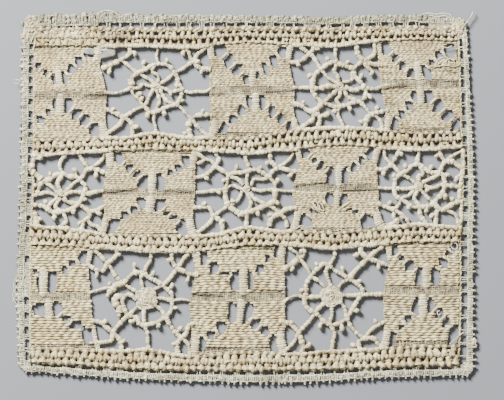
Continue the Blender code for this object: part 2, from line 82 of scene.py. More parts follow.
# Wheels. "pull" is how far the top and the bottom spoke draw the bands in, and "lean" where, from
# the hub. A bar is its half thickness, then the x and y of each point from the hub. "picots" are
# the tips of the knots that stand off the bars, from the hub too
wheels = (
    {
        "row": 0, "column": 1, "hub": (-30.0, 37.3), "hubRadius": 1.3,
        "lean": (0.0, -0.3), "pull": (0.0, 1.7),
        "bars": (
            (0.6, 0.1, 0.5, 0.5, 2.7, 0, 3.9, -1.3, 4.5, -1.4, 5.8, -0.4, 7, 0.6, 7.4),
            (0.6, 1, 0.7, 3.1, 1.9, 4.8, 3.5, 5.9, 4.5),
            (0.65, 1, -0.6, 2.9, -1, 4.8, -2, 6.5, -1.5, 8.5, -1.2),
            (0.65, 0.9, -0.8, 1.9, -3, 3.4, -5, 5.4, -5.8, 6.5, -6.1),
            (0.6, -0.3, -1.1, 0.5, -3.4, 0.8, -5.2, 0, -6.9, -0.6, -8.9),
            (0.65, -1, -0.8, -2.5, -3.4, -3.3, -5.4, -4.2, -6.7),
            (0.6, -0.8, -0.3, -2.8, 0.1, -4.6, 0.7, -6, -0.6, -8.7, -0.8),
            (0.65, -0.9, 0.7, -2.2, 2, -4.1, 3.1, -6.5, 4.4),
            (0.55, 0.6, 7.5, -0.2, 9.8, 0.2, 11.7, 0.3, 13.5),
            (0.7, 5.9, 4.5, 8.7, 5.8, 10.7, 7.3, 12.2, 8.1),
            (0.6, 8.5, -1.2, 10.7, -2.2, 13.3, -1.9, 16.1, -1.9, 18.1, -0.8),
            (0.65, 6.5, -6.1, 8.2, -7.5, 9.7, -9.2, 11.6, -11),
            (0.6, -0.6, -9, -1, -11, -0.5, -13.6, -0.3, -15.9),
            (0.75, -4.2, -6.7, -6.9, -7.7, -8.9, -9, -11.1, -10.5),
            (0.6, -8.7, -0.8, -11, -1.6, -14, -2.3, -17.4, -2.2),
            (0.65, -6.5, 4.4, -8.4, 5.8, -10.5, 7.6, -12.1, 8.6),
            (0.9, 0.6, 7.4, -1.8, 6.8, -4.1, 5.4, -6.5, 4.4),
            (0.75, 0.6, 7.4, 2.9, 7.2, 4.5, 6.3, 5.9, 4.5),
            (0.8, 5.9, 4.5, 6.9, 2.7, 7.1, 1.2, 8.5, -1.2),
            (0.8, 8.5, -1.2, 8.2, -3.1, 7.6, -4.6, 6.5, -6.1),
            (0.75, 6.5, -6.1, 4.1, -6.7, 1.8, -7.7, -0.6, -8.9),
            (0.75, -0.6, -8.9, -2.3, -8.6, -3.3, -7.7, -4.2, -6.7),
            (0.5, -4.2, -6.7, -5.4, -5.4, -6.6, -4, -7.9, -2.9, -8.7, -0.8),
            (1.0, -8.7, -0.8, -8.4, 1.2, -8.2, 2.7, -6.5, 4.4),
            (0.75, -12.1, 8.6, -9.8, 10, -8.9, 11.4, -9.4, 14.5),
            (0.95, -12.1, 8.6, -15.1, 7.1, -18.4, 5.7),
            (0.75, 12.2, 8.1, 13.4, 10.4, 14.8, 11.5, 16.3, 13, 17.3, 14.2),
            (0.75, 12.2, 8.1, 11.1, 9.6, 10.6, 11.4, 9.7, 12.4, 9.4, 14),
            (0.9, 12.2, 8.1, 13.5, 6.6, 15, 5.8, 17.9, 5.5),
            (0.75, 11.6, -11, 13.3, -13.2, 15, -14.9, 17.9, -17.4),
            (1.0, 11.6, -11, 10.6, -13.1, 11, -15.9, 11.2, -17.7),
            (0.9, 11.6, -11, 13, -9.9, 15.6, -9.5, 18.4, -9.6),
            (0.8, -11.1, -10.5, -12.2, -12.7, -14, -14.1, -16.1, -15.6, -17.9, -17.1),
            (0.8, -11.1, -10.5, -13.3, -9.2, -15.1, -8.5, -17.9, -7.2),
            (0.8, -11.1, -10.5, -9.2, -11.7, -8.2, -13.3, -8.2, -15.1, -8.2, -17.1),
        ),
        "picots": (
            (-7.3, 10.9), (-15.9, 4.5), (8.7, 10.8), (13.6, 8.2), (14.8, 4.4), (-4.5, 8), (3.4, 8.6),
            (-9.4, 1.7), (-6, -2.6), (4.5, -2.6), (6.6, 0.1), (8.7, -4.9), (2.5, -9.4), (-3.3, -9.8),
            (-5, -4.1), (-14.5, -7.8), (-6.6, -13.7), (9.2, -15.6), (15, -8.5),
        ),
    },
    {
        "row": 0, "column": 3, "hub": (31.0, 37.3), "hubRadius": 1.4,
        "lean": (-1.7, 0.7), "pull": (0.5, 0.0),
        "bars": (
            (0.75, -0.2, 0.2, -0.9, 3.2, -2, 4.9, -1.5, 6.3, -0.9, 8),
            (0.6, 0.8, 1.5, 2.7, 1.5, 4.1, 2.2, 4, 3.9, 4.6, 5.6),
            (0.85, 1.5, -0.4, 3.4, -1.1, 5, -1.4, 6.9, -0.7, 8.2, -0.6),
            (0.65, 1.3, -1.4, 2.5, -3.5, 4.1, -4.4, 6.7, -5.2),
            (0.65, 0.1, -1.7, -0.2, -3.5, -1.1, -4.4, -0.6, -5.6, 0.4, -6.7),
            (0.8, -1, -1.4, -3.1, -3.3, -4.5, -4.5, -5.9, -5.5),
            (0.9, -1.3, -0.2, -4.3, 0, -6.2, -0.6, -9.3, -0.9),
            (0.6, -0.8, 0.9, -2.4, 1.8, -4.3, 3, -5.5, 4.6, -6.5, 5.6),
            (0.65, -0.9, 8, -1.5, 10.3, -1.4, 12.4, -1.6, 14), (0.75, 4.6, 5.6, 5.5, 6.7, 7.9, 8.6),
            (0.75, 8.2, -0.6, 10.4, -1, 12.3, -0.9, 14.4, 0, 16.5, 0.3),
            (0.75, 6.7, -5.2, 8.3, -7, 9.5, -8.5, 10.3, -9.6),
            (0.6, 0.4, -6.7, -0.6, -8.2, -0.6, -9.9, 0.4, -11.7, 1.4, -14.1),
            (1.0, -5.9, -5.5, -7.3, -7.3, -9, -8.6),
            (0.7, -9.3, -0.9, -11.3, -0.6, -13.7, -0.7, -16, -0.5),
            (0.7, -6.5, 5.6, -7.6, 7.7, -9, 9.8, -10.2, 10.7),
            (0.95, -0.9, 8, -3.4, 7.7, -5, 6.6, -6.5, 5.6),
            (0.95, -0.9, 8, 0.4, 7.1, 2, 6.6, 4.6, 5.6), (0.8, 4.6, 5.6, 5, 3.2, 6.4, 1.8, 8.2, -0.6),
            (0.8, 8.2, -0.6, 8.6, -2.4, 8.1, -4, 6.7, -5.2),
            (0.8, 6.7, -5.2, 4.1, -5.6, 2.2, -6.3, 0.4, -6.7),
            (0.8, 0.4, -6.7, -1.5, -7, -3.8, -6.1, -5.9, -5.5),
            (0.85, -5.9, -5.5, -7.8, -3.8, -9, -2.1, -9.3, -0.9),
            (1.0, -9.3, -0.9, -9, 2.1, -8.3, 3.7, -6.5, 5.6),
            (0.75, -10.2, 10.7, -12, 12.1, -13.7, 13.5, -15.5, 14.5),
            (0.9, -10.2, 10.7, -9, 12.1, -8.7, 14.5),
            (0.85, -10.2, 10.7, -12.3, 8.9, -14.4, 7.9, -17.2, 7.9),
            (0.95, 7.9, 8.6, 6, 10.5, 5.5, 12.8, 5.3, 14.2),
            (0.75, 7.9, 8.6, 10.7, 9.8, 11.6, 11.4, 11.4, 14.5),
            (0.95, 7.9, 8.6, 10.4, 7.4, 13.5, 7, 15.6, 7), (0.8, 7.9, 8.6, 8.8, 6.7, 10.5, 5.1),
            (1.0, 10.3, -9.6, 9, -10.8, 8.6, -12.4, 8.1, -14.8),
            (0.9, 10.3, -9.6, 12.1, -8.9, 13.7, -8.5, 16, -7.9),
            (0.7, 10.3, -9.6, 12.3, -10.4, 13.7, -12.2, 14, -15.2),
            (0.85, -9, -8.6, -9, -10.8, -10.6, -12.2, -12.7, -13.6, -14.8, -15.5),
            (0.9, -9, -8.6, -10.9, -8, -12.7, -6.6, -15.8, -5.9),
            (0.85, -9, -8.6, -6.9, -9.9, -6.9, -12, -8, -14.3),
        ),
        "picots": (
            (-4.3, 9.1), (2.5, 8.1), (-10.2, 3.6), (-13.7, 7), (-7.3, 12.4), (-8, -3.5), (-12.1, -5.2),
            (-2, -8.5), (3.4, -7.7), (-4.3, -9.5), (10.1, -3.7), (12.3, -7), (6.9, -11.7), (10.8, 4.3),
            (7.2, 3.6),
        ),
    },
    {
        "row": 1, "column": 0, "hub": (-62.0, 1.3), "hubRadius": 0.8,
        "lean": (0.0, -0.3), "pull": (0.0, 0.0),
        "bars": (
            (0.8, 0.2, 0.4, -1.1, 3.5, -0.5, 4.8, 0.7, 6.8),
            (0.7, 1, 0.4, 2.9, 2.1, 4.6, 3.8, 6.3, 4.8),
            (0.75, 0.8, -0.7, 2.7, 0.4, 5.3, 0.8, 7.8, 0.4),
            (0.75, 0.8, -1.1, 1.9, -2.4, 4, -3, 5.8, -3.3),
            (0.65, 0, -1.3, -1.7, -3.7, -1.1, -5, 0.4, -5.8),
            (0.65, -0.9, -1.1, -2.8, -2.6, -4.8, -4.3),
            (0.65, -1.1, -0.9, -3.2, 0.1, -5.1, 0.4, -7.9, -0.3),
            (0.65, -0.9, 0.1, -2.8, 2.1, -4.3, 3.3, -5.8, 4.2),
            (0.75, 0.7, 6.8, -0.5, 9.3, 0.2, 11.4, 1.7, 13.1),
            (0.85, 6.3, 4.8, 7.6, 6.3, 8.3, 7.8, 9.5, 8.5),
            (0.8, 7.8, 0.4, 9.5, 0.1, 11.4, 0.6, 14.2, 1.1), (0.8, 5.8, -3.3, 7.6, -4.5, 9.4, -5.9),
            (0.65, 0.4, -5.8, 1.9, -8.8, 0.6, -10.1, -1.1, -11.8),
            (1.0, 0.7, 6.8, -1.5, 6.5, -3.6, 5, -5.8, 4.2), (1.2, -5.8, 4.2, -7.9, 6.3, -10.4, 7.8),
            (0.9, 0.7, 6.8, 2.9, 5.9, 5.1, 5.7, 6.3, 4.8),
            (0.85, 6.3, 4.8, 7.4, 3.5, 8.3, 2.1, 7.8, 0.4), (0.9, 7.8, 0.4, 7, -1.8, 5.8, -3.3),
            (0.75, 5.8, -3.3, 4, -4.7, 2.3, -5.5, 0.4, -5.8),
            (1.1, 0.4, -5.8, -1.9, -6.2, -3.6, -5.6, -4.8, -4.3),
            (0.85, -4.8, -4.3, -7, -3.9, -9.6, -3.5), (0.8, -7.9, -0.3, -7.5, 1.4, -7, 2.9, -5.8, 4.2),
            (1.0, -8.7, 14.8, -9, 11.8, -9.4, 9.5, -10.2, 7.8),
            (1.1, -9.2, -5.4, -8.3, -7.5, -8.1, -10.1), (0.7, 9.5, 8.5, 7.6, 10.6, 6.1, 13.1),
            (0.6, 9.5, 8.5, 12.5, 10.4, 14, 11.8, 14.4, 13.5),
            (0.8, 9.5, 8.5, 11.7, 8.2, 13.4, 7.6, 15.5, 7),
            (0.8, 9.4, -5.9, 11.4, -5.6, 13.1, -4.7, 14.8, -3.6),
            (0.9, 9.4, -5.9, 9.7, -7.5, 7.8, -9, 6.8, -12.2),
            (0.85, 9.1, -8.8, 10.2, -10.3, 12.3, -10.9, 13.8, -12.6), (0.65, -7.9, -0.3, -9.6, -0.5),
        ),
        "picots": (
            (-6.6, 12.1), (-3.6, 7), (4.6, 8.2), (11.7, 5.8), (7.9, 3.3), (-8.6, 2.9), (-5.1, -2.6),
            (-2.2, -8.1), (8.3, -1.8), (4.4, -6.2), (12.9, -6.4), (6.1, -9.6), (-6.6, -8.4),
        ),
    },
    {
        "row": 1, "column": 2, "hub": (0.0, 3.0), "hubRadius": 1.3,
        "lean": (0.0, 0.0), "pull": (1.2, 2.0),
        "bars": (
            (0.7, 0.1, 1.2, -0.1, 3.4, 0.6, 6.1), (0.6, 1.4, 1.2, 2.3, 3.2, 4.8, 3.2, 7.5, 3.7),
            (0.65, 1.6, 0, 4.3, -0.6, 6.7, -0.3, 9.5, -0.2),
            (0.65, 1.1, -1, 2.3, -2.9, 4.3, -4.1, 6.7, -5.4),
            (0.75, -0.1, -1, 1.1, -3.6, 1.1, -5.4, 0.1, -7.9),
            (0.6, -1.6, -0.7, -2.6, -3.2, -4, -4.6, -6, -5.8),
            (0.6, -1.1, -0.2, -3, 0.5, -4.8, 1.2, -7.2, 0),
            (0.7, -1.3, 1.5, -3, 3.2, -4.8, 3.9, -6, 4.7),
            (0.7, 0.6, 6.1, 0.4, 8.1, -0.4, 9.8, -0.6, 11.8), (0.9, 7.5, 3.7, 8.4, 5.6, 10.4, 7.1),
            (0.5, 9.5, -0.2, 12.1, -0.7, 16, -0.7), (0.8, 6.7, -5.4, 8.9, -6.3, 11.1, -8.4),
            (0.9, 0.1, -7.9, -0.1, -10.7, -0.4, -12.9), (0.65, -6, -5.8, -8.2, -6.8, -11.1, -9),
            (0.75, -7.2, 0, -9.9, -0.5, -13.3, -1, -17, -1.2), (0.8, -6, 4.7, -7.9, 5.9, -10.6, 7.5),
            (0.85, 0.6, 6.1, -1.6, 5.4, -4, 5.4, -6, 4.7),
            (0.9, 0.6, 6.1, 3.1, 6.4, 5.3, 5.4, 7.5, 3.7), (0.75, 7.5, 3.7, 9.2, 2, 9.5, -0.2),
            (1.0, 9.5, -0.2, 9.4, -2.4, 8.9, -4.1, 6.7, -5.4),
            (1.0, 6.7, -5.4, 3.8, -6.6, 1.8, -7.3, 0.1, -7.9),
            (1.1, 0.1, -7.9, -2.1, -8.3, -4, -7.3, -6, -5.8),
            (1.0, -6, -5.8, -7, -3.4, -7.2, -1.4, -7.2, 0),
            (0.75, -7.2, 0, -6.7, 1.7, -6.5, 3.2, -6, 4.7),
            (0.75, -10.6, 7.5, -11.8, 9.3, -13.8, 10, -15.8, 11.3, -17, 12.2),
            (0.8, -10.6, 7.5, -9.4, 9.6, -10.1, 11.3, -10.9, 13.2),
            (0.75, -10.6, 7.5, -12.8, 5.4, -14.8, 4.2, -17.7, 3.7),
            (0.9, 10.4, 7.1, 8.2, 8.8, 7.7, 10.8, 7.5, 12.7),
            (0.65, 10.4, 7.1, 12.6, 8.6, 14.3, 10, 15.5, 12),
            (0.8, 10.4, 7.1, 12.8, 6.6, 15.5, 5.9, 17.5, 5.9),
            (0.85, 11.1, -8.4, 13.1, -6.8, 16.5, -6.3),
            (1.0, 11.1, -8.4, 9.2, -9, 8, -10.2, 7.5, -12.4),
            (0.8, 11.1, -8.4, 12.8, -10.2, 13.3, -12.7),
            (0.75, -11.1, -9, -12.3, -11.2, -14.3, -12.9, -16.5, -14.6),
            (0.9, -11.1, -9, -8.9, -10.5, -8.2, -12.2, -8.2, -14.6),
            (0.8, -11.1, -9, -12.6, -6.3, -14.8, -6.1, -18.2, -6.3),
        ),
        "picots": (
            (-3.4, 7.6), (4.5, 7.2), (-7.9, 2.7), (-9.4, -1.4), (-13.2, 3.3), (-15.9, 8.6),
            (-4.8, -3.9), (-2.8, -9), (3.6, -8.5), (10.5, -4.6), (10.3, 2.7), (6.7, 8.8), (14.3, 4.4),
            (7.5, -8.5), (-7.9, -10.7), (-14.4, -4.9),
        ),
    },
    {
        "row": 1, "column": 4, "hub": (57.0, 3.7), "hubRadius": 1.7,
        "lean": (0.7, 2.8), "pull": (0.0, 0.0),
        "bars": (
            (0.8, 0.3, 1, 0.1, 3.5, 1.6, 4.1, 1.2, 5.9, 0.1, 7.6),
            (0.75, 1.4, 1.4, 3.9, 2.6, 5.9, 3.5, 7.4, 5),
            (0.75, 2.1, 0.4, 3.9, -0.2, 5.9, -0.1, 7.4, 0.7, 9, 0.6),
            (0.65, 1.2, -1.2, 3, -3.5, 5.4, -5.4), (0.8, -0.2, -1.5, -1.3, -3.5, -0.6, -5, 0.7, -6.5),
            (0.65, -1.3, -1, -3.1, -2.8, -4.4, -3.2, -5.8, -4.1),
            (0.75, -1, -0.3, -4.2, -0.6, -8, -0.4), (0.65, -0.8, 0.8, -2.2, 2.3, -4.2, 3.5, -5.8, 4.2),
            (0.8, 0.1, 7.6, -0.2, 9, 0.3, 10.8, 0.5, 12.8), (0.9, 7.4, 5, 7.9, 6.8, 9, 8.4),
            (0.75, 9, 0.6, 11.5, 0.3, 14.4, -0.1), (1.0, 5.4, -5.4, 6.5, -6.8, 8.3, -7.7),
            (0.9, 0.7, -6.5, 0.7, -9.5, 2.3, -11.5, 3.4, -13.3),
            (0.7, -5.8, -4.1, -6.4, -5.9, -8, -7.6), (0.6, -8, -0.4, -10.4, -0.6, -13.5, -0.2),
            (0.75, -5.8, 4.2, -7.1, 5.7, -8.7, 7.5), (0.85, 0.1, 7.6, -1.9, 7, -3.7, 5.5, -5.8, 4.2),
            (0.8, 0.1, 7.6, 2.3, 6.1, 3.9, 5, 5.7, 4.8, 7.4, 5),
            (0.85, 7.4, 5, 8.3, 3.9, 8.8, 2.1, 9, 0.6),
            (0.95, 9, 0.6, 8.1, -2.3, 6.5, -3.9, 5.4, -5.4),
            (1.0, 5.4, -5.4, 3.9, -6.4, 2.3, -6.6, 0.7, -6.5),
            (0.75, 0.7, -6.5, -1.5, -6.8, -3.3, -5.5, -5.8, -4.1),
            (0.75, -5.8, -4.1, -7.5, -2.8, -8, -0.4), (0.75, -8, -0.4, -7.7, 1.7, -7.5, 3, -5.8, 4.2),
            (0.6, -8.7, 7.5, -10.9, 9.7, -11.3, 11.9, -11.6, 13.5),
            (0.85, -8.7, 7.5, -7.5, 9.7, -6.4, 11.7, -6.4, 13.3),
            (0.85, -8.7, 7.5, -11.1, 5.9, -14, 5.9), (0.85, 9, 8.4, 7.4, 10.8, 7.2, 13.5),
            (0.65, 9, 8.4, 11.9, 10.6, 14.6, 11.9), (0.9, 9, 8.4, 11.5, 8.4, 13.5, 7, 15.3, 5.7),
            (0.95, 8.3, -7.7, 10.3, -6.6, 12.4, -5.2, 14.8, -5),
            (0.75, 8.3, -7.7, 10.6, -8.2, 12.6, -9.5, 13.5, -11.9),
            (0.85, 8.3, -7.7, 6.5, -7.9, 6.1, -9.5, 5.9, -12.2),
            (0.75, -8, -7.6, -8, -10.4, -6.8, -11.5, -8.6, -12.2, -10.6, -12.8),
            (0.7, -8, -7.6, -6, -8.8, -4.2, -10.2, -3.3, -11.7, -3.2, -13.1),
            (0.85, -8, -7.6, -10.4, -6.8, -13.5, -5.5), (0.9, 15.3, 4.6, 13.5, 3.5, 12.6, 1.9),
            (0.75, 14.9, 12.8, 15.3, 8.4, 14.8, 4.8, 14.4, 2.1, 14.1, -0.3, 13.9, -3.5, 14.6, -5.2,
             14.4, -8.4, 14.6, -10.8, 13.5, -12.8),
        ),
        "picots": (
            (-4.2, 7), (4.5, 6.9), (9.9, 4.1), (-7.7, 3.2), (-11.6, 4.4), (-5.5, 10.8), (-9.3, -5.2),
            (-3.1, -7), (3, -7.7), (9.2, -3.2), (4.5, -9.5), (11.2, -3.9), (6.1, 10.4), (3, -1.2),
            (-5.5, -10.2),
        ),
    },
    {
        "row": 2, "column": 1, "hub": (-33.7, -33.7), "hubRadius": 3.8,
        "lean": (1.3, 0.7), "pull": (0.3, 1.7),
        "bars": (
            (0.75, -0.9, 3.4, -1.4, 5.5, -1.7, 7.1, -0.6, 8.8), (0.7, 2.6, 3.1, 4.2, 3.9, 5.6, 4.6),
            (0.75, 3.4, 0.3, 5.7, 0.2, 8.8, -0.5), (0.8, 2.6, -2, 5, -3.3, 6.5, -5.8),
            (0.7, -0.6, -3, -0.6, -5.7, -0.4, -8.9), (0.65, -2.8, -2.5, -4.4, -4.1, -5.8, -5.4),
            (0.85, -3.3, -0.1, -5.4, 1.5, -7.4, 1), (0.65, -3, 2.3, -4.6, 3.4, -6.2, 4.4, -7.5, 5.2),
            (0.75, -0.6, 8.8, 0.4, 11.1, 1.5, 12.7, 1.8, 14.8, 1.5, 16.4),
            (0.8, 5.6, 4.6, 7.9, 6.8, 10.4, 10), (0.5, 8.8, -0.5, 11.6, -0.1, 15.1, -0.6),
            (0.85, 6.5, -5.8, 8.4, -8.9, 10, -11.3, 11.9, -12.9),
            (0.7, -0.4, -8.9, 0.7, -11.5, 0.7, -14.2, 1, -16.8),
            (0.9, -5.8, -5.4, -7.5, -7, -9.4, -9.1, -11, -11.1),
            (0.5, -12.3, 3.9, -15.5, 3.1, -19.2, 1.9),
            (0.75, -7.5, 5.2, -10.2, 7.9, -11.8, 10.5, -12.9, 11.9),
            (0.85, -0.6, 8.8, -3.8, 8.7, -5.7, 7.3, -7.5, 5.2),
            (0.85, -0.6, 8.8, 1, 7.1, 3.6, 6, 5.6, 4.6),
            (0.75, 5.6, 4.6, 6.8, 3.4, 8.7, 1.8, 8.8, -0.5),
            (0.85, 8.8, -0.5, 8.7, -2.8, 7.9, -4.6, 6.5, -5.8),
            (0.85, 6.5, -5.8, 4.2, -7.5, 2, -8.3, -0.4, -8.9),
            (0.8, -0.4, -8.9, -2.2, -8.1, -3, -6.2, -5.8, -5.4),
            (0.85, -5.8, -5.4, -7.3, -3, -7.8, -0.6, -7.4, 1),
            (1.1, -7.5, 5.2, -9.7, 4.7, -11, 3.4, -12.3, 2),
            (1.1, -7.4, 1, -9.7, 0.7, -10.2, -1.2, -8.9, -3, -8.9, -4.4),
            (0.75, -12.9, 11.9, -15, 14.3, -16.6, 15.8, -18.4, 17.4),
            (0.85, -12.9, 11.9, -10.5, 13.7, -9.7, 15.6, -9.7, 17.7),
            (0.85, -12.9, 11.9, -14.2, 9.5, -16.3, 9.7, -19, 11.3),
            (0.95, 10.4, 10, 12.4, 9.5, 14.5, 8.4, 17.4, 8.1),
            (0.85, 10.4, 10, 8.7, 12.7, 8.7, 15.3, 8.9, 17.2),
            (0.75, 10.4, 10, 12.9, 13.7, 14.5, 15.1, 16.4, 16.6),
            (0.9, -11, -11.1, -13.1, -9.4, -15.2, -7.8, -17.9, -7.3),
            (0.9, -11, -11.1, -9.4, -12.6, -8.3, -14.5, -8.2, -17.6),
            (0.8, -11, -11.1, -11.5, -13.7, -13.7, -14.2, -16.8, -14.7),
            (0.75, 11.9, -12.9, 14, -15, 14.8, -18.4), (1.0, 11.9, -12.9, 10.5, -15, 10.8, -18.7),
            (0.9, 11.9, -12.9, 13.5, -11.3, 14.5, -8.6, 17.4, -8.3),
        ),
        "picots": (
            (-3.8, 11.6), (2.8, 8.9), (8.8, 4.3), (10.3, -3), (4.2, -8.9), (-4.6, -7.5), (-12.3, 5.2),
            (-12.6, 1.5), (-16.3, 7.6), (-9.4, 15.1), (7.6, 12.9), (13.7, 6), (11.6, -9.7), (9.2, -15),
            (-13.4, -7.5), (-7.3, -13.7), (-8.9, -4.6),
        ),
    },
    {
        "row": 2, "column": 3, "hub": (28.0, -32.7), "hubRadius": 3.7,
        "lean": (0.7, 0.3), "pull": (0.5, 1.0),
        "bars": (
            (0.7, -0.1, 3.3, -1.3, 6.6, -1.6, 8.4, -0.6, 10.2), (0.7, 2.5, 3, 4, 4.6, 6.2, 5.7),
            (0.8, 3.8, 0.4, 6.8, 0.2, 10.1, 0.4), (0.75, 3, -1.8, 4.5, -3.8, 5, -6.1, 5.5, -7.4),
            (0.75, 0.2, -3.8, 0.4, -5.9, -0.1, -7.9, -0.1, -9.7),
            (0.75, -2.1, -2.3, -4.1, -4.1, -5.4, -5.6), (0.8, -2.9, 0.1, -5.7, -0.3, -8.6, -0.5),
            (0.7, -2.1, 3, -3.9, 4.8, -6.6, 6.7), (0.7, -0.6, 10.2, 1.2, 13.2, 1.2, 14.8, 1.2, 17.1),
            (1.0, 6.2, 5.7, 7.6, 7.9, 9.6, 9.9, 12.4, 12.5), (0.8, 10.1, 0.4, 12.9, 0.5, 18, 0.6),
            (0.75, 5.5, -7.4, 6.8, -10.2, 8.9, -12.5, 11.2, -14.1),
            (0.75, -0.1, -9.7, 1.2, -12.5, 0.7, -15.1, 0.2, -18.4),
            (0.8, -5.4, -5.6, -7, -8.2, -8.7, -10, -10.7, -12.1),
            (0.65, -8.6, -0.5, -11.3, 0.2, -13.6, -0.5, -15.9, -2.1),
            (0.7, -6.6, 6.7, -8.2, 9.7, -10, 12, -10.7, 12.5),
            (0.85, -0.6, 10.2, -2.6, 10.7, -4.7, 8.9, -6.6, 6.7),
            (0.8, -0.6, 10.2, 1.7, 8.4, 4, 7.1, 6.2, 5.7),
            (0.8, 6.2, 5.7, 8.9, 4.1, 10.6, 1.8, 10.1, 0.4),
            (0.85, 10.1, 0.4, 8.4, -2.3, 6.8, -4.9, 5.5, -7.4),
            (0.85, 5.5, -7.4, 3.3, -8.7, 1.5, -9.5, -0.1, -9.7),
            (0.8, -0.1, -9.7, -2.4, -8.4, -3.9, -6.7, -5.4, -5.6),
            (0.85, -5.4, -5.6, -7.5, -4.4, -8.7, -2.6, -8.6, -0.5),
            (0.9, -8.6, -0.5, -8.2, 1.8, -8.2, 4.1, -6.6, 6.7),
            (0.7, -10.7, 12.5, -11.3, 14.3, -12.8, 15.3, -14.9, 17.3),
            (0.8, -10.7, 12.5, -9.2, 13.5, -9, 15.5, -9.2, 17.8),
            (1.1, -10.7, 12.5, -12.8, 10.7, -15.9, 8.9),
            (0.95, 12.4, 12.5, 14.5, 14.5, 17, 16.3, 18.8, 17.6),
            (0.95, 12.4, 12.5, 10.1, 14.5, 9.9, 16.3, 10.4, 17.8),
            (0.85, 12.4, 12.5, 15.5, 11.5, 19.6, 9.9),
            (0.8, 11.2, -14.1, 12.9, -11.8, 15.2, -10, 18.8, -8.2),
            (0.9, 11.2, -14.1, 9.4, -15.1, 9.4, -16.9, 9.9, -19.4),
            (0.9, 11.2, -14.1, 14.2, -14.1, 15.8, -16.1, 18.3, -17.6),
            (0.8, -10.7, -12.1, -12.1, -14.8, -13.8, -16.9, -16.1, -18.4),
            (0.85, -10.7, -12.1, -12.6, -10, -14.6, -8.9, -17.2, -8.4),
            (0.85, -10.7, -12.1, -9.8, -15.1, -9.2, -17.1, -10.5, -19.9),
        ),
        "picots": (
            (-4.7, 10.7), (3.8, 9.4), (-9.8, 2), (9.1, 4.8), (-3.8, -10), (3.8, -11), (9, -4.9),
            (15.8, 9.4), (8.1, 13.6), (7.2, -16.3), (14.6, -8.2), (-7.3, -16.3), (-12.8, 8.9),
            (-13.1, -8.7), (-9.5, 15.2),
        ),
    },
)

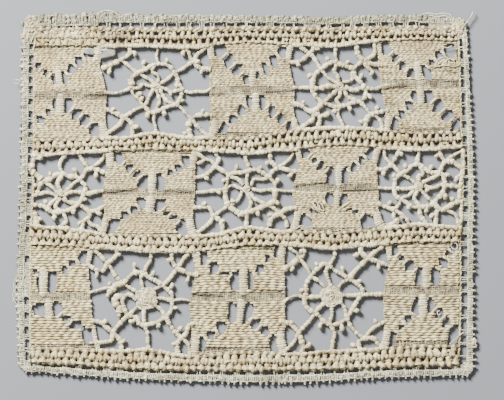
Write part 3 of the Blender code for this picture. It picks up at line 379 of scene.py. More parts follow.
# Woven squares. "middle" is the y of the linen strip, "hems" how much linen shows above and below
# the petals, and "pitch" the distance of the petal rows. Each gap is its middle, width, height and
# lean in degrees, to the right at its top
wovenSquares = (
    {
        "row": 0, "column": 0, "middle": 34.0, "hems": (0.8, 0.4), "pitch": 0.6,
        "gaps": (
            (-69.5, 44.1, 2.0, 1.8, 0), (-67.2, 41.6, 1.2, 2.3, 0), (-64.3, 39.6, 1.5, 4.0, -15),
            (-60.9, 39.8, 1.5, 4.3, -13), (-58.5, 42.9, 2.7, 3.0, 0), (-56.0, 45.3, 2.7, 3.7, 0),
            (-52.8, 48.0, 3.3, 2.7, 0), (-64.1, 31.2, 1.4, 3.7, 0), (-59.6, 31.0, 2.7, 5.0, 6),
            (-66.2, 28.7, 1.5, 2.7, 0), (-68.7, 26.1, 2.5, 2.7, 0), (-56.8, 28.1, 2.8, 3.2, 22),
            (-54.2, 25.9, 3.2, 3.7, 8), (-50.9, 22.8, 3.8, 4.0, 0),
        ),
    },
    {
        "row": 0, "column": 2, "middle": 35.6, "hems": (0.2, 1.2), "pitch": 0.6,
        "gaps": (
            (-9.0, 49.0, 4.0, 4.2, 0), (-6.1, 45.7, 2.8, 4.7, 0), (-3.4, 42.7, 3.0, 3.2, 15),
            (-0.2, 39.6, 2.0, 3.2, 0), (3.5, 40.8, 1.3, 2.2, 0), (6.1, 43.3, 1.7, 4.3, -10),
            (8.8, 45.7, 2.3, 4.2, -5), (11.7, 48.7, 2.8, 3.7, 10), (0.8, 31.8, 2.0, 4.0, 0),
            (5.0, 31.7, 2.0, 4.7, -4), (-1.8, 29.0, 2.5, 3.5, 0), (-4.6, 26.1, 2.8, 3.2, 0),
            (-7.6, 23.4, 2.7, 4.0, 18), (8.3, 28.8, 2.0, 4.2, 0), (11.2, 26.1, 2.3, 3.7, -8),
            (14.0, 23.7, 2.0, 3.7, -10),
        ),
    },
    {
        "row": 0, "column": 4, "middle": 37.8, "hems": (0.3, 1.2), "pitch": 0.6,
        "gaps": (
            (46.4, 49.5, 3.3, 5.0, -18), (49.3, 46.6, 1.7, 2.7, 0), (51.7, 44.0, 2.0, 2.7, 0),
            (54.6, 41.5, 2.8, 3.5, -6), (59.7, 42.1, 3.2, 4.7, -18), (61.5, 45.1, 1.7, 1.7, 0),
            (64.0, 46.9, 2.5, 3.5, -8), (67.3, 48.9, 4.0, 4.7, 6), (68.6, 45.6, 2.0, 0.8, 0),
            (55.8, 33.7, 2.2, 3.8, -15), (60.4, 33.9, 3.0, 4.3, 6), (54.1, 30.6, 2.3, 3.0, -12),
            (51.7, 27.8, 2.0, 3.0, -14), (49.2, 24.8, 2.5, 4.5, 18), (63.7, 30.6, 3.3, 4.2, 6),
            (66.8, 27.5, 3.8, 4.0, 0), (69.6, 24.4, 2.5, 4.3, 18),
        ),
    },
    {
        "row": 1, "column": 1, "middle": 2.0, "hems": (0.9, 0.3), "pitch": 0.6,
        "gaps": (
            (-42.8, 13.2, 3.2, 4.0, -22), (-39.2, 10.0, 2.2, 2.7, 0), (-36.9, 7.8, 1.8, 2.3, 30),
            (-34.5, 5.3, 3.3, 4.7, 10), (-29.0, 5.3, 2.8, 5.7, -4), (-25.6, 8.2, 1.8, 2.0, 0),
            (-23.0, 9.8, 2.5, 2.3, 0), (-20.3, 12.3, 2.7, 3.3, 0), (-35.1, -1.9, 3.0, 3.8, -8),
            (-29.2, -2.3, 3.5, 4.0, 24), (-37.7, -4.0, 2.2, 2.2, 0), (-40.7, -6.0, 2.7, 2.8, 0),
            (-44.7, -9.5, 3.5, 5.3, 22), (-26.7, -5.1, 2.3, 1.3, 20), (-24.6, -6.6, 2.7, 1.5, 20),
            (-21.8, -9.8, 3.5, 5.3, -12),
        ),
    },
    {
        "row": 1, "column": 3, "middle": 3.3, "hems": (0.5, 1.6), "pitch": 0.6,
        "gaps": (
            (19.4, 15.2, 3.0, 3.8, -20), (22.5, 12.6, 1.7, 1.7, 0), (24.5, 10.8, 2.0, 3.3, 15),
            (28.0, 7.4, 3.2, 5.7, -6), (32.6, 7.6, 2.2, 5.0, 4), (35.7, 10.4, 2.0, 3.8, 12),
            (37.9, 12.4, 1.2, 2.8, -6), (40.6, 14.5, 2.7, 4.0, 24), (27.6, -0.3, 3.0, 3.7, 0),
            (32.1, -0.7, 2.5, 4.0, 14), (22.2, -4.4, 2.8, 1.5, -30), (19.6, -7.9, 4.3, 5.0, 0),
            (33.9, -3.8, 1.7, 1.0, 20), (36.1, -4.8, 2.3, 1.5, 0), (40.0, -7.7, 4.7, 4.5, -14),
            (24.5, -2.8, 2.3, 2.3, -30),
        ),
    },
    {
        "row": 2, "column": 0, "middle": -33.0, "hems": (0.1, 1.5), "pitch": 0.85,
        "gaps": (
            (-70.2, -24.7, 1.8, 2.3, -30), (-69.5, -28.3, 1.0, 5.0, -6), (-64.9, -28.0, 3.2, 7.0, 5),
            (-60.7, -23.8, 2.0, 3.0, 0), (-58.2, -21.9, 2.3, 2.2, 0), (-54.7, -19.7, 3.0, 4.0, 16),
            (-69.2, -37.3, 4.2, 4.3, 0), (-63.2, -37.1, 3.5, 5.0, -10), (-60.4, -40.2, 2.2, 2.0, 25),
            (-57.1, -42.4, 4.2, 2.8, 0), (-53.0, -45.8, 4.0, 5.0, -6),
        ),
    },
    {
        "row": 2, "column": 2, "middle": -33.0, "hems": (1.1, 1.1), "pitch": 0.85,
        "gaps": (
            (-14.4, -19.9, 2.3, 4.7, 0), (-10.9, -23.4, 2.8, 3.7, 0), (-7.5, -25.1, 2.7, 1.3, -10),
            (-4.0, -27.6, 3.0, 6.7, 6), (1.1, -27.6, 2.0, 6.7, -4), (4.4, -23.6, 2.5, 3.2, 0),
            (7.0, -20.5, 1.5, 2.3, 0), (9.8, -18.2, 1.3, 4.5, 8), (-4.7, -38.4, 3.0, 6.7, 0),
            (0.3, -38.2, 3.0, 6.7, 18), (-8.5, -43.1, 3.2, 3.8, 0), (-12.0, -45.7, 2.7, 2.0, 0),
            (-14.8, -48.3, 2.3, 4.7, 6), (2.8, -41.9, 3.0, 3.2, 10), (5.8, -44.3, 2.7, 3.0, 0),
            (8.6, -48.5, 2.3, 6.7, -4),
        ),
    },
    {
        "row": 2, "column": 4, "middle": -31.0, "hems": (1.0, 1.6), "pitch": 0.85,
        "gaps": (
            (49.3, -17.6, 2.2, 3.7, 0), (51.6, -20.3, 1.7, 1.7, 20), (54.1, -22.4, 3.2, 3.2, 0),
            (57.3, -26.1, 2.2, 6.0, 8), (62.7, -25.8, 3.0, 6.0, 0), (65.4, -21.4, 2.7, 3.3, -12),
            (67.0, -18.7, 1.8, 2.0, 0), (69.0, -16.4, 2.7, 3.0, 0), (56.2, -36.3, 2.3, 5.9, 6),
            (61.2, -35.9, 2.6, 4.7, -6), (53.7, -40.6, 2.3, 2.7, 0), (51.2, -42.9, 1.7, 1.7, 0),
            (48.5, -46.8, 1.8, 5.3, 16), (64.1, -38.6, 2.4, 3.4, 0), (66.2, -41.1, 2.3, 3.5, 8),
            (68.8, -45.5, 3.3, 7.2, 12),
        ),
    },
)

# Creases along the linen strips: two ends and a depth. Each crease gets painted shade: the strength
# and half width of its dark line and of the softer shade beside it
creaseShades = ((0.9, 0.45), (0.4, 1.2))
creases = (
    (-53.3, 34.1, -46.7, 34.3, 1.0), (-69.7, 34.0, -62.3, 33.7, 0.5), (-12.0, 34.3, -8.3, 34.2, 0.8),
    (6.7, 35.3, 16.7, 35.7, 1.0), (44.0, 36.0, 53.3, 37.3, 1.0), (63.3, 39.0, 70.7, 38.7, 0.6),
    (-48.7, 1.5, -38.0, 2.7, 1.0), (-27.7, 2.3, -18.7, 1.8, 0.9), (16.0, 3.8, 26.3, 5.2, 0.8),
    (32.0, 2.3, 44.0, 2.8, 0.9), (-67.3, -33.0, -61.7, -33.3, 0.6), (-19.0, -32.0, -9.0, -32.7, 1.0),
    (2.3, -31.0, 13.0, -31.0, 0.8), (63.3, -28.8, 71.3, -29.0, 0.7), (47.7, -29.7, 56.7, -30.0, 0.5),
    (61.3, 43.4, 69.1, 43.8, 0.6), (66.1, 42.6, 69.1, 41.6, 0.8),
)

# Brownish marks: middle, radius and strength
stains = (
    (-42.7, 54.0, 2.8, 0.5), (-10.0, 27.3, 2.2, 0.6), (-10.6, 44.8, 2.2, 0.5), (48.0, 31.3, 2.2, 0.5),
    (61.7, 19.3, 2.4, 0.5), (16.0, -32.3, 2.5, 0.4), (-66.0, 53.5, 6.0, 0.25), (60.0, 52.5, 5.0, 0.2),
    (13.2, 27.6, 1.5, 0.5), (12.8, 45.4, 1.3, 0.6), (3.6, 37.8, 1.9, 0.5), (-39.2, 11.6, 1.2, 0.45),
    (-17.8, 7.5, 1.2, 0.55), (-15.7, -14.7, 1.8, 0.55),
)

build = {
    "middleHeight": 0.85,   # of all the thread work above the floor
    "groundMiddle": 0.68,   # height of the ground sheet's middle
    "groundThickness": 0.24,
    "pullReach": 9.0,   # how far along a band the pull of a spoke is seen
    "pullShare": 0.75,   # of the pull, in a band's edge
    "stripHalf": 1.5,   # half the height of the linen strips
    "eyeletPitch": 2.5,
    "edgeInset": 0.4,   # from the panel's edge to the first square
}
rnd = random.Random(11)


def across(line, x):
    return float(np.interp(x, acrossLines["x"], acrossLines[line]))


def upright(line, y):
    return float(np.interp(y, sideLines["y"], sideLines[line]))


def bandEdge(line, x):   # with the pull of the spokes that end on it
    y = across(line, x)
    for wheel in wheels:
        top, bottom = rowEdges[wheel["row"]]
        pulls = {top: (wheel["lean"][0], -wheel["pull"][0]), bottom: (wheel["lean"][1], wheel["pull"][1])}
        if line in pulls:
            lean, pull = pulls[line]
            off = abs(x - wheel["hub"][0] - lean)
            y += build["pullShare"] * pull * max(0.0, 1 - off / build["pullReach"])
    return y


def squareSide(row, column, y):   # the side to the right of column -1, 0, 1 ...
    if column < 0:
        return upright("left", y) + build["edgeInset"]
    if column > 3:
        return upright("right", y) - build["edgeInset"]
    xs = squareSides[row][column]
    low, high = across(rowEdges[row][1], xs[2]), across(rowEdges[row][0], xs[2])
    return float(np.interp((y - low) / (high - low), sideShares[::-1], xs[::-1]))


def squareSpan(square, y):   # the x of the left and of the right side
    row, column = square["row"], square["column"]
    return squareSide(row, column - 1, y), squareSide(row, column, y)


def gapReach(gap, turn, grow):   # from a gap's middle to its rim, which is a little uneven
    wide, high = gap[2] / 2 + grow, gap[3] / 2 + grow
    power = 3.6   # 2 gives an ellipse, and more a squarer gap
    square = (np.abs(np.cos(turn) / wide) ** power + np.abs(np.sin(turn) / high) ** power) ** (-1 / power)
    return square * (1 + 0.09 * np.sin(3 * turn + 2.1 * gap[0]) + 0.07 * np.sin(5 * turn + 1.7 * gap[1]))


def insideGap(gap, x, y, grow):
    up = y - gap[1]
    side = x - gap[0] - up * math.tan(math.radians(gap[4]))
    return np.hypot(side, up) < gapReach(gap, np.arctan2(up, side), grow)


def gapOutline(gap, corners=12, grow=0.2):
    outline = []
    for i in range(corners):
        turn = 2 * math.pi * (i + 0.5) / corners
        reach = float(gapReach(gap, turn, grow))
        up = reach * math.sin(turn)
        outline.append((gap[0] + reach * math.cos(turn) + up * math.tan(math.radians(gap[4])), gap[1] + up))
    return outline


# Shader node groups and materials

def addNode(tree, kind, inputs=None, **settings):
    node = tree.nodes.new(kind)
    for key, value in settings.items():
        setattr(node, key, value)
    for key, source in (inputs or {}).items():
        if isinstance(source, bpy.types.NodeSocket):
            tree.links.new(source, node.inputs[key])
        else:
            node.inputs[key].default_value = source
    return node


def calc(tree, operation, *values, clamp=False):
    node = addNode(tree, "ShaderNodeMath", dict(enumerate(values)), operation=operation)
    node.use_clamp = clamp
    return node.outputs[0]


def blendColors(tree, share, low, high, mode="MIX"):
    node = addNode(tree, "ShaderNodeMix", {0: share, 6: low, 7: high}, data_type="RGBA", blend_type=mode)
    return node.outputs[2]


def newGroup(name, kind, inputs, outputs):
    group = bpy.data.node_groups.new(name, kind)
    for label, socketType, value in inputs:
        socket = group.interface.new_socket(label, in_out="INPUT", socket_type=socketType)
        if value is not None:
            socket.default_value = value
    for label, socketType in outputs:
        group.interface.new_socket(label, in_out="OUTPUT", socket_type=socketType)
    return group, group.nodes.new("NodeGroupInput"), group.nodes.new("NodeGroupOutput")


def makeThreadTone():   # thread colour, with patches, streaks, painted shade in the hollows and on the flanks, brown stains and the painted shade of creases
    group, start, end = newGroup(
        "threadTone", "ShaderNodeTree",
        (
            ("Thread", "NodeSocketColor", (0.7, 0.6, 0.4, 1)),
            ("Warm", "NodeSocketColor", (0.6, 0.5, 0.3, 1)),
            # Painted shade: the dark brown laid into the hollows of a thread, and below it how strongly it is
            # laid
            ("Crevice Shade", "NodeSocketColor", (0.13, 0.09, 0.045, 1)),
            ("Patch Size", "NodeSocketFloat", 0.008),
            ("Crevice Shade Share", "NodeSocketFloat", 0.6),
            ("Streak", "NodeSocketFloat", 1.0),
            ("Fleck", "NodeSocketFloat", 0.2),
            ("Painted Side Shade", "NodeSocketFloat", 0.5),   # painted shade: the share of the colour left on the flanks of a thread
        ),
        (("Color", "NodeSocketColor"), ("Height", "NodeSocketFloat")),
    )
    place = addNode(group, "ShaderNodeTexCoord").outputs["Object"]
    scale = calc(group, "DIVIDE", 1.0, start.outputs["Patch Size"])
    patch = addNode(group, "ShaderNodeTexNoise", {"Vector": place, "Scale": scale, "Detail": 3.0})
    patchMask = addNode(group, "ShaderNodeMapRange", {
        "Value": patch.outputs["Fac"], "From Min": 0.4, "From Max": 0.66})
    color = blendColors(group, patchMask.outputs[0], start.outputs["Thread"], start.outputs["Warm"])
    alongRow = addNode(group, "ShaderNodeCombineXYZ", {"X": start.outputs["Streak"], "Y": 1.0, "Z": 1.0})
    stretched = addNode(group, "ShaderNodeVectorMath", {0: place, 1: alongRow.outputs[0]},
                        operation="MULTIPLY").outputs[0]
    fleck = addNode(group, "ShaderNodeTexNoise", {"Vector": stretched, "Scale": 1700.0, "Detail": 2.0})
    dim = calc(group, "SUBTRACT", 1.0, start.outputs["Fleck"])
    bright = calc(group, "ADD", 1.0, calc(group, "MULTIPLY", start.outputs["Fleck"], 0.6))
    fleckTone = addNode(group, "ShaderNodeMapRange", {
        "Value": fleck.outputs["Fac"], "From Min": 0.32, "From Max": 0.66, "To Min": dim, "To Max": bright})
    color = blendColors(group, 1.0, color, fleckTone.outputs[0], "MULTIPLY")
    # Painted shade: the flanks of a thread, where its normal turns away from up, are darkened as if light
    # fell from above
    normal = addNode(group, "ShaderNodeTexCoord").outputs["Normal"]
    upward = addNode(group, "ShaderNodeSeparateXYZ", {"Vector": normal}).outputs["Z"]
    side = addNode(group, "ShaderNodeMapRange", {
        "Value": upward, "From Min": 0.1, "From Max": 0.8, "To Min": start.outputs["Painted Side Shade"],
        "To Max": 1.0})
    color = blendColors(group, 1.0, color, side.outputs[0], "MULTIPLY")
    shade, creviceShade, stainAndCreaseShade = (addNode(group, "ShaderNodeAttribute", attribute_name=name).outputs["Fac"]
                           for name in ("shade", "creviceShade", "stainAndCreaseShade"))
    color = blendColors(group, 1.0, color, calc(group, "SUBTRACT", 1.0, shade), "MULTIPLY")
    # Painted shade: the hollows stored by the thread sweep are darkened towards the dark brown of the hollows
    creviceShadeShare = calc(group, "MULTIPLY", creviceShade, start.outputs["Crevice Shade Share"], clamp=True)
    color = blendColors(group, creviceShadeShare, color, start.outputs["Crevice Shade"])
    # Real stains and the painted shade of creases darken towards this brown
    color = blendColors(group, stainAndCreaseShade, color, (0.10, 0.07, 0.035, 1))
    fibres = addNode(group, "ShaderNodeTexNoise", {"Vector": place, "Scale": 6000.0, "Detail": 2.0})
    height = calc(group, "ADD", fibres.outputs["Fac"], calc(group, "MULTIPLY", fleck.outputs["Fac"], 1.5))
    group.links.new(color, end.inputs["Color"])
    group.links.new(height, end.inputs["Height"])
    return group


threadTone = makeThreadTone()
# In each finish, the share of painted shade in the hollows of the threads and the colour that painted shade
# leaves on their flanks can be set
finishes = {
    "petalLinen": {"Thread": (0.95, 0.82, 0.44, 1), "Warm": (0.80, 0.62, 0.29, 1), "Crevice Shade Share": 0.95,
                   "Streak": 0.25, "Fleck": 0.4},
    "stripLinen": {"Thread": (0.58, 0.51, 0.29, 1), "Warm": (0.20, 0.16, 0.09, 1), "Crevice Shade Share": 0.8,
                   "Patch Size": 0.003, "Fleck": 0.5},
    # Painted shade: the ground sheet is near black, to stand for the shade between and under the threads
    "groundShade": {"Thread": (0.09, 0.07, 0.04, 1), "Warm": (0.06, 0.045, 0.02, 1), "Crevice Shade Share": 0.0},
    "barThread": {"Thread": (0.88, 0.80, 0.51, 1), "Warm": (0.72, 0.62, 0.35, 1), "Crevice Shade Share": 0.95,
                  "Fleck": 0.45},
    "bandThread": {"Thread": (0.82, 0.71, 0.40, 1), "Warm": (0.57, 0.44, 0.20, 1), "Crevice Shade Share": 0.95,
                   "Fleck": 0.5},
    "tapeThread": {"Thread": (0.75, 0.72, 0.49, 1), "Warm": (0.51, 0.48, 0.30, 1), "Crevice Shade Share": 1.0,
                   "Fleck": 0.5, "Painted Side Shade": 0.3},
}


def newMaterial(name, roughness):
    material = bpy.data.materials.new(name)
    material.use_nodes = True
    shader = material.node_tree.nodes["Principled BSDF"]
    shader.inputs["Roughness"].default_value = roughness
    return material, material.node_tree, shader


def makeThreadMaterial(name):
    material, tree, shader = newMaterial(name, 0.8)
    shader.inputs["Sheen Weight"].default_value = 0.15
    shader.inputs["Sheen Roughness"].default_value = 0.5
    tone = addNode(tree, "ShaderNodeGroup", node_tree=threadTone)
    for key, value in finishes[name].items():
        tone.inputs[key].default_value = value
    bump = addNode(tree, "ShaderNodeBump", {
        "Height": tone.outputs["Height"], "Strength": 0.6, "Distance": 0.00015})
    tree.links.new(tone.outputs["Color"], shader.inputs["Base Color"])
    tree.links.new(bump.outputs["Normal"], shader.inputs["Normal"])
    return material


def makeFilmMaterial():
    material, tree, shader = newMaterial("greyFilm", 0.35)
    place = addNode(tree, "ShaderNodeTexCoord").outputs["Object"]
    cloud = addNode(tree, "ShaderNodeTexNoise", {"Vector": place, "Scale": 500.0, "Detail": 3.0})
    color = blendColors(tree, cloud.outputs["Fac"], (0.10, 0.095, 0.08, 1), (0.45, 0.44, 0.39, 1))
    tree.links.new(color, shader.inputs["Base Color"])
    return material


materials = {name: makeThreadMaterial(name) for name in finishes}
materials["greyFilm"] = makeFilmMaterial()
print("materials made:", len(materials))


# A Geometry Nodes tree that runs thread along edges

def makeSweepTree():
    tree, start, end = newGroup(
        "runThread", "GeometryNodeTree",
        (
            ("Geometry", "NodeSocketGeometry", None),
            ("Sides", "NodeSocketInt", 6),
            ("Step", "NodeSocketFloat", 0.0004),
            ("Rib Length", "NodeSocketFloat", 0.0007),
            ("Rib Depth", "NodeSocketFloat", 0.1),
            ("Lift", "NodeSocketFloat", 0.0),
            ("Swell", "NodeSocketFloat", 0.0),
            ("Wander", "NodeSocketFloat", 0.0003),
            ("Wander Size", "NodeSocketFloat", 0.004),
            ("Fuzz", "NodeSocketFloat", 0.1),
            ("Lump Length", "NodeSocketFloat", 0.0011),
            ("Lump Height", "NodeSocketFloat", 0.0011),
            ("Seed", "NodeSocketFloat", 0.0),
            ("Middle", "NodeSocketFloat", 0.0008),
            ("Flatness", "NodeSocketFloat", 0.8),
            ("Material", "NodeSocketMaterial", None),
        ),
        (("Geometry", "NodeSocketGeometry"),),
    )
    sizes = start.outputs

    def attribute(name):
        return addNode(tree, "GeometryNodeInputNamedAttribute", {"Name": name}, data_type="FLOAT").outputs[0]

    def vector(operation, *values):
        inputs = {0: values[0], "Scale" if operation == "SCALE" else 1: values[1]}
        return addNode(tree, "ShaderNodeVectorMath", inputs, operation=operation).outputs[0]

    lines = addNode(tree, "GeometryNodeMeshToCurve", {"Mesh": sizes["Geometry"]}).outputs[0]
    lines = addNode(tree, "GeometryNodeCurveSplineType", {"Curve": lines},
                    spline_type="CATMULL_ROM").outputs[0]
    lines = addNode(tree, "GeometryNodeResampleCurve", {"Curve": lines, "Length": sizes["Step"]},
                    mode="LENGTH").outputs[0]
    place = addNode(tree, "GeometryNodeInputPosition").outputs[0]
    x = addNode(tree, "ShaderNodeSeparateXYZ", {"Vector": place}).outputs["X"]
    along = addNode(tree, "GeometryNodeSplineParameter").outputs["Length"]
    phase = attribute("phase")
    ribTurn = calc(tree, "ADD", calc(tree, "DIVIDE", along, sizes["Rib Length"]), phase)
    rib = calc(tree, "SINE", calc(tree, "MULTIPLY", ribTurn, 2 * math.pi))
    waveTurn = calc(tree, "ADD", calc(tree, "DIVIDE", x, attribute("beat")), phase)
    wave = calc(tree, "SINE", calc(tree, "MULTIPLY", waveTurn, 2 * math.pi))
    scale = addNode(tree, "ShaderNodeCombineXYZ", {
        "X": sizes["Lump Length"], "Y": sizes["Lump Height"], "Z": sizes["Lump Height"]}).outputs[0]
    lumps = addNode(tree, "ShaderNodeTexNoise", {
        "Vector": vector("DIVIDE", place, scale), "Scale": 1.0, "Detail": 1.0, "W": sizes["Seed"]},
        noise_dimensions="4D").outputs["Fac"]
    lump = calc(tree, "MULTIPLY", calc(tree, "SUBTRACT", lumps, 0.5),
                calc(tree, "MULTIPLY", sizes["Fuzz"], 2.0))
    factor = calc(tree, "MULTIPLY_ADD", rib, sizes["Rib Depth"], calc(tree, "ADD", lump, 1.0))
    factor = calc(tree, "MULTIPLY_ADD", wave, sizes["Swell"], factor)
    radius = calc(tree, "MULTIPLY", attribute("thick"), factor)
    # Painted shade: how hollow each point lies, between ribs, swells and lumps, is stored for the thread
    # colour to darken it
    ribHollow = calc(tree, "MULTIPLY", calc(tree, "SUBTRACT", 1.0, rib), sizes["Rib Depth"])
    waveHollow = calc(tree, "MULTIPLY", calc(tree, "SUBTRACT", 1.0, wave), sizes["Swell"])
    thin = calc(tree, "MULTIPLY", lump, -0.5)
    hollow = calc(tree, "ADD", calc(tree, "ADD", ribHollow, waveHollow), thin)
    hollow = calc(tree, "MULTIPLY", hollow, 3.0, clamp=True)

    size = calc(tree, "DIVIDE", 1.0, sizes["Wander Size"])
    drift = addNode(tree, "ShaderNodeTexNoise", {"Vector": place, "Scale": size, "Detail": 1.0})
    sway = vector("SUBTRACT", drift.outputs["Color"], (0.5, 0.5, 0.5))
    sway = vector("SCALE", vector("MULTIPLY", sway, (1.0, 1.0, 0.25)), sizes["Wander"])
    lift = addNode(tree, "ShaderNodeCombineXYZ", {
        "Z": calc(tree, "MULTIPLY", wave, sizes["Lift"])}).outputs[0]
    offset = vector("ADD", sway, lift)

    lines = addNode(tree, "GeometryNodeStoreNamedAttribute", {
        "Geometry": lines, "Name": "creviceShade", "Value": hollow}, data_type="FLOAT", domain="POINT").outputs[0]
    lines = addNode(tree, "GeometryNodeSetCurveRadius", {"Curve": lines, "Radius": radius}).outputs[0]
    lines = addNode(tree, "GeometryNodeSetPosition", {"Geometry": lines, "Offset": offset}).outputs[0]
    ring = addNode(tree, "GeometryNodeCurvePrimitiveCircle", {
        "Resolution": sizes["Sides"], "Radius": 1.0}).outputs[0]
    threads = addNode(tree, "GeometryNodeCurveToMesh", {
        "Curve": lines, "Profile Curve": ring, "Scale": addNode(tree, "GeometryNodeInputRadius").outputs[0],
        "Fill Caps": True}).outputs[0]
    split = addNode(tree, "ShaderNodeSeparateXYZ", {"Vector": place}).outputs
    flat = calc(tree, "MULTIPLY_ADD", calc(tree, "SUBTRACT", split["Z"], sizes["Middle"]), sizes["Flatness"],
                sizes["Middle"])
    flat = calc(tree, "MAXIMUM", flat, 0.00003)   # nothing goes under the floor
    pressed = addNode(tree, "ShaderNodeCombineXYZ", {"X": split["X"], "Y": split["Y"], "Z": flat}).outputs[0]
    threads = addNode(tree, "GeometryNodeSetPosition", {"Geometry": threads, "Position": pressed}).outputs[0]
    threads = addNode(tree, "GeometryNodeSetShadeSmooth", {"Geometry": threads}).outputs[0]
    threads = addNode(tree, "GeometryNodeRealizeInstances", {"Geometry": threads}).outputs[0]
    threads = addNode(tree, "GeometryNodeSetMaterial", {
        "Geometry": threads, "Material": sizes["Material"]}).outputs[0]
    tree.links.new(threads, end.inputs[0])
    return tree


sweepTree = makeSweepTree()


# "phase" shifts the ribs and swells of a thread, "beat" is the length of a swell and "shade"
# darkens the thread. A point without a z lies at the middle height
def thread(points, thick, phase=0.0, beat=1000.0, shade=0.0):
    count = len(points)
    thicks = list(thick) if hasattr(thick, "__len__") else [thick] * count
    points = [(p[0], p[1], p[2] if len(p) > 2 else build["middleHeight"]) for p in points]
    return {"points": points, "thick": thicks, "phase": phase, "beat": beat, "shade": shade}


def stainAndCreaseShadeAt(places):   # real brown stains and the painted shade of creases; places in millimetres
    stainAndCreaseShade = np.zeros(len(places))
    for x, y, radius, strength in stains:
        away = np.hypot(places[:, 0] - x, places[:, 1] - y)
        stainAndCreaseShade = np.maximum(stainAndCreaseShade, strength * np.exp(-(away / radius) ** 2))
    # Painted shade: a dark line along each crease and a softer shade beside it
    for x0, y0, x1, y1, depth in creases:
        along = np.array((x1 - x0, y1 - y0))
        length = np.hypot(*along)
        along = along / length
        away = places[:, :2] - np.array((x0, y0))
        run = np.clip(away @ along, 0, length)
        reach = np.hypot(away[:, 0] - run * along[0], away[:, 1] - run * along[1])
        for dark, wide in creaseShades:
            stainAndCreaseShade = np.maximum(stainAndCreaseShade, dark * depth * np.exp(-(reach / wide) ** 2))
    return stainAndCreaseShade


def addObject(name, data):
    made = bpy.data.objects.new(name, data)
    bpy.context.scene.collection.objects.link(made)
    return made


def finishMesh(name, mesh):
    places = np.empty(len(mesh.vertices) * 3)
    mesh.vertices.foreach_get("co", places)
    # Each mesh carries the real stains and the painted crease shade as a point attribute
    stainAndCreaseShade = stainAndCreaseShadeAt(places.reshape(-1, 3) / mm)
    mesh.attributes.new("stainAndCreaseShade", "FLOAT", "POINT").data.foreach_set("value", stainAndCreaseShade)
    return addObject(name, mesh)


def runThreads(name, threads, finish, sizes):
    points, values, edges = [], {"thick": [], "phase": [], "beat": [], "shade": []}, []
    for each in threads:
        first = len(points)
        count = len(each["points"])
        points += [(p[0] * mm, p[1] * mm, p[2] * mm) for p in each["points"]]
        values["thick"] += [t * mm for t in each["thick"]]
        values["phase"] += [each["phase"]] * count
        values["beat"] += [each["beat"] * mm] * count
        values["shade"] += [each["shade"]] * count
        edges += [(i, i + 1) for i in range(first, len(points) - 1)]
    mesh = bpy.data.meshes.new(name + "Lines")
    mesh.from_pydata(points, edges, [])
    for label, column in values.items():
        mesh.attributes.new(label, "FLOAT", "POINT").data.foreach_set("value", column)
    lines = addObject(name + "Lines", mesh)
    inputs = {"Material": materials[finish], "Middle": build["middleHeight"] * mm, **sizes}
    modifier = lines.modifiers.new("runThread", "NODES")
    modifier.node_group = sweepTree
    for item in sweepTree.interface.items_tree:
        if item.item_type == "SOCKET" and item.in_out == "INPUT" and item.name in inputs:
            modifier[item.identifier] = inputs[item.name]
    swept = lines.evaluated_get(bpy.context.evaluated_depsgraph_get())
    result = bpy.data.meshes.new_from_object(swept)
    result.name = name
    lines.modifiers.remove(modifier)
    bpy.data.objects.remove(lines)
    print(name, "triangles:", sum(len(face.vertices) - 2 for face in result.polygons))
    return finishMesh(name, result)


# The ground: a thin sheet under the thread work, with every gap and eyelet open, coloured near black as
# painted shade seen between the threads

def panelOutline():
    xs, ys = acrossLines["x"], sideLines["y"]
    outline = [(sideLines["left"][0], acrossLines["bottom"][0])]
    outline += [(x, across("bottom", x)) for x in xs[1:-1]]
    outline += [(sideLines["right"][0], acrossLines["bottom"][-1])]
    outline += [(upright("right", y), y) for y in ys[1:-1]]
    outline += [(sideLines["right"][-1], acrossLines["top"][-1])]
    outline += [(x, across("top", x)) for x in xs[-2:0:-1]]
    outline += [(sideLines["left"][-1], acrossLines["top"][0])]
    outline += [(upright("left", y), y) for y in ys[-2:0:-1]]
    return outline


def wheelOpening(wheel):
    high, low = rowEdges[wheel["row"]]
    under = 0.35   # the cloth ends under the thread ends
    ys = np.linspace(across(low, wheel["hub"][0]), across(high, wheel["hub"][0]), 9)
    spans = [squareSpan(wheel, y) for y in ys]
    left = [(x - under, y) for (x, _), y in zip(spans, ys)]
    right = [(x + under, y) for (_, x), y in zip(spans, ys)]
    outline = [(x, bandEdge(low, x)) for x in np.linspace(left[0][0], right[0][0], 9)]
    outline += right[1:-1]
    outline += [(x, bandEdge(high, x)) for x in np.linspace(right[-1][0], left[-1][0], 9)]
    outline += left[-2:0:-1]
    return outline


def bandPoint(lines, share, x):
    high, low = bandEdge(lines[0], x), bandEdge(lines[1], x)
    return high + share * (low - high)


eyelets = {
    "lanes": ((0.29, 0.0), (0.7, 0.5)),   # share of the band's height, and shift in pitches
    "from": -70.5,   # x of the first and the last
    "to": 70.2,
    "margin": 1.6,   # to the panel's sides
    "jitter": 0.3,
    "shape": ((-0.7, -0.35), (-0.35, -0.65), (0.35, -0.65), (0.7, -0.35), (0.7, 0.35), (0.35, 0.65),
              (-0.35, 0.65), (-0.7, 0.35)),
    "closedShare": 0.12,
    "sizes": (1.0, 0.8, 0.65, 0.5),   # of the eyelets in each band, from the top
    "closedBefore": -47.5,   # the top band has none open left of this
}


def tightBand(lines, x):
    return lines is bands[0] and x < eyelets["closedBefore"]


def eyeletPlaces():   # band, share, x, y and size of each
    places = []
    for lines, size in zip(bands, eyelets["sizes"]):
        for share, shift in eyelets["lanes"]:
            x = eyelets["from"] + shift * build["eyeletPitch"]
            while x < eyelets["to"]:
                at = x + rnd.uniform(-1, 1) * eyelets["jitter"]
                y = bandPoint(lines, share, at)
                closed = rnd.random() < eyelets["closedShare"] or tightBand(lines, at)
                left, right = upright("left", y), upright("right", y)
                if left + eyelets["margin"] < at < right - eyelets["margin"]:
                    places.append((lines, share, at, y, 0.0 if closed else size * rnd.uniform(0.7, 1.05)))
                x += build["eyeletPitch"]
    return places


holes = eyeletPlaces()


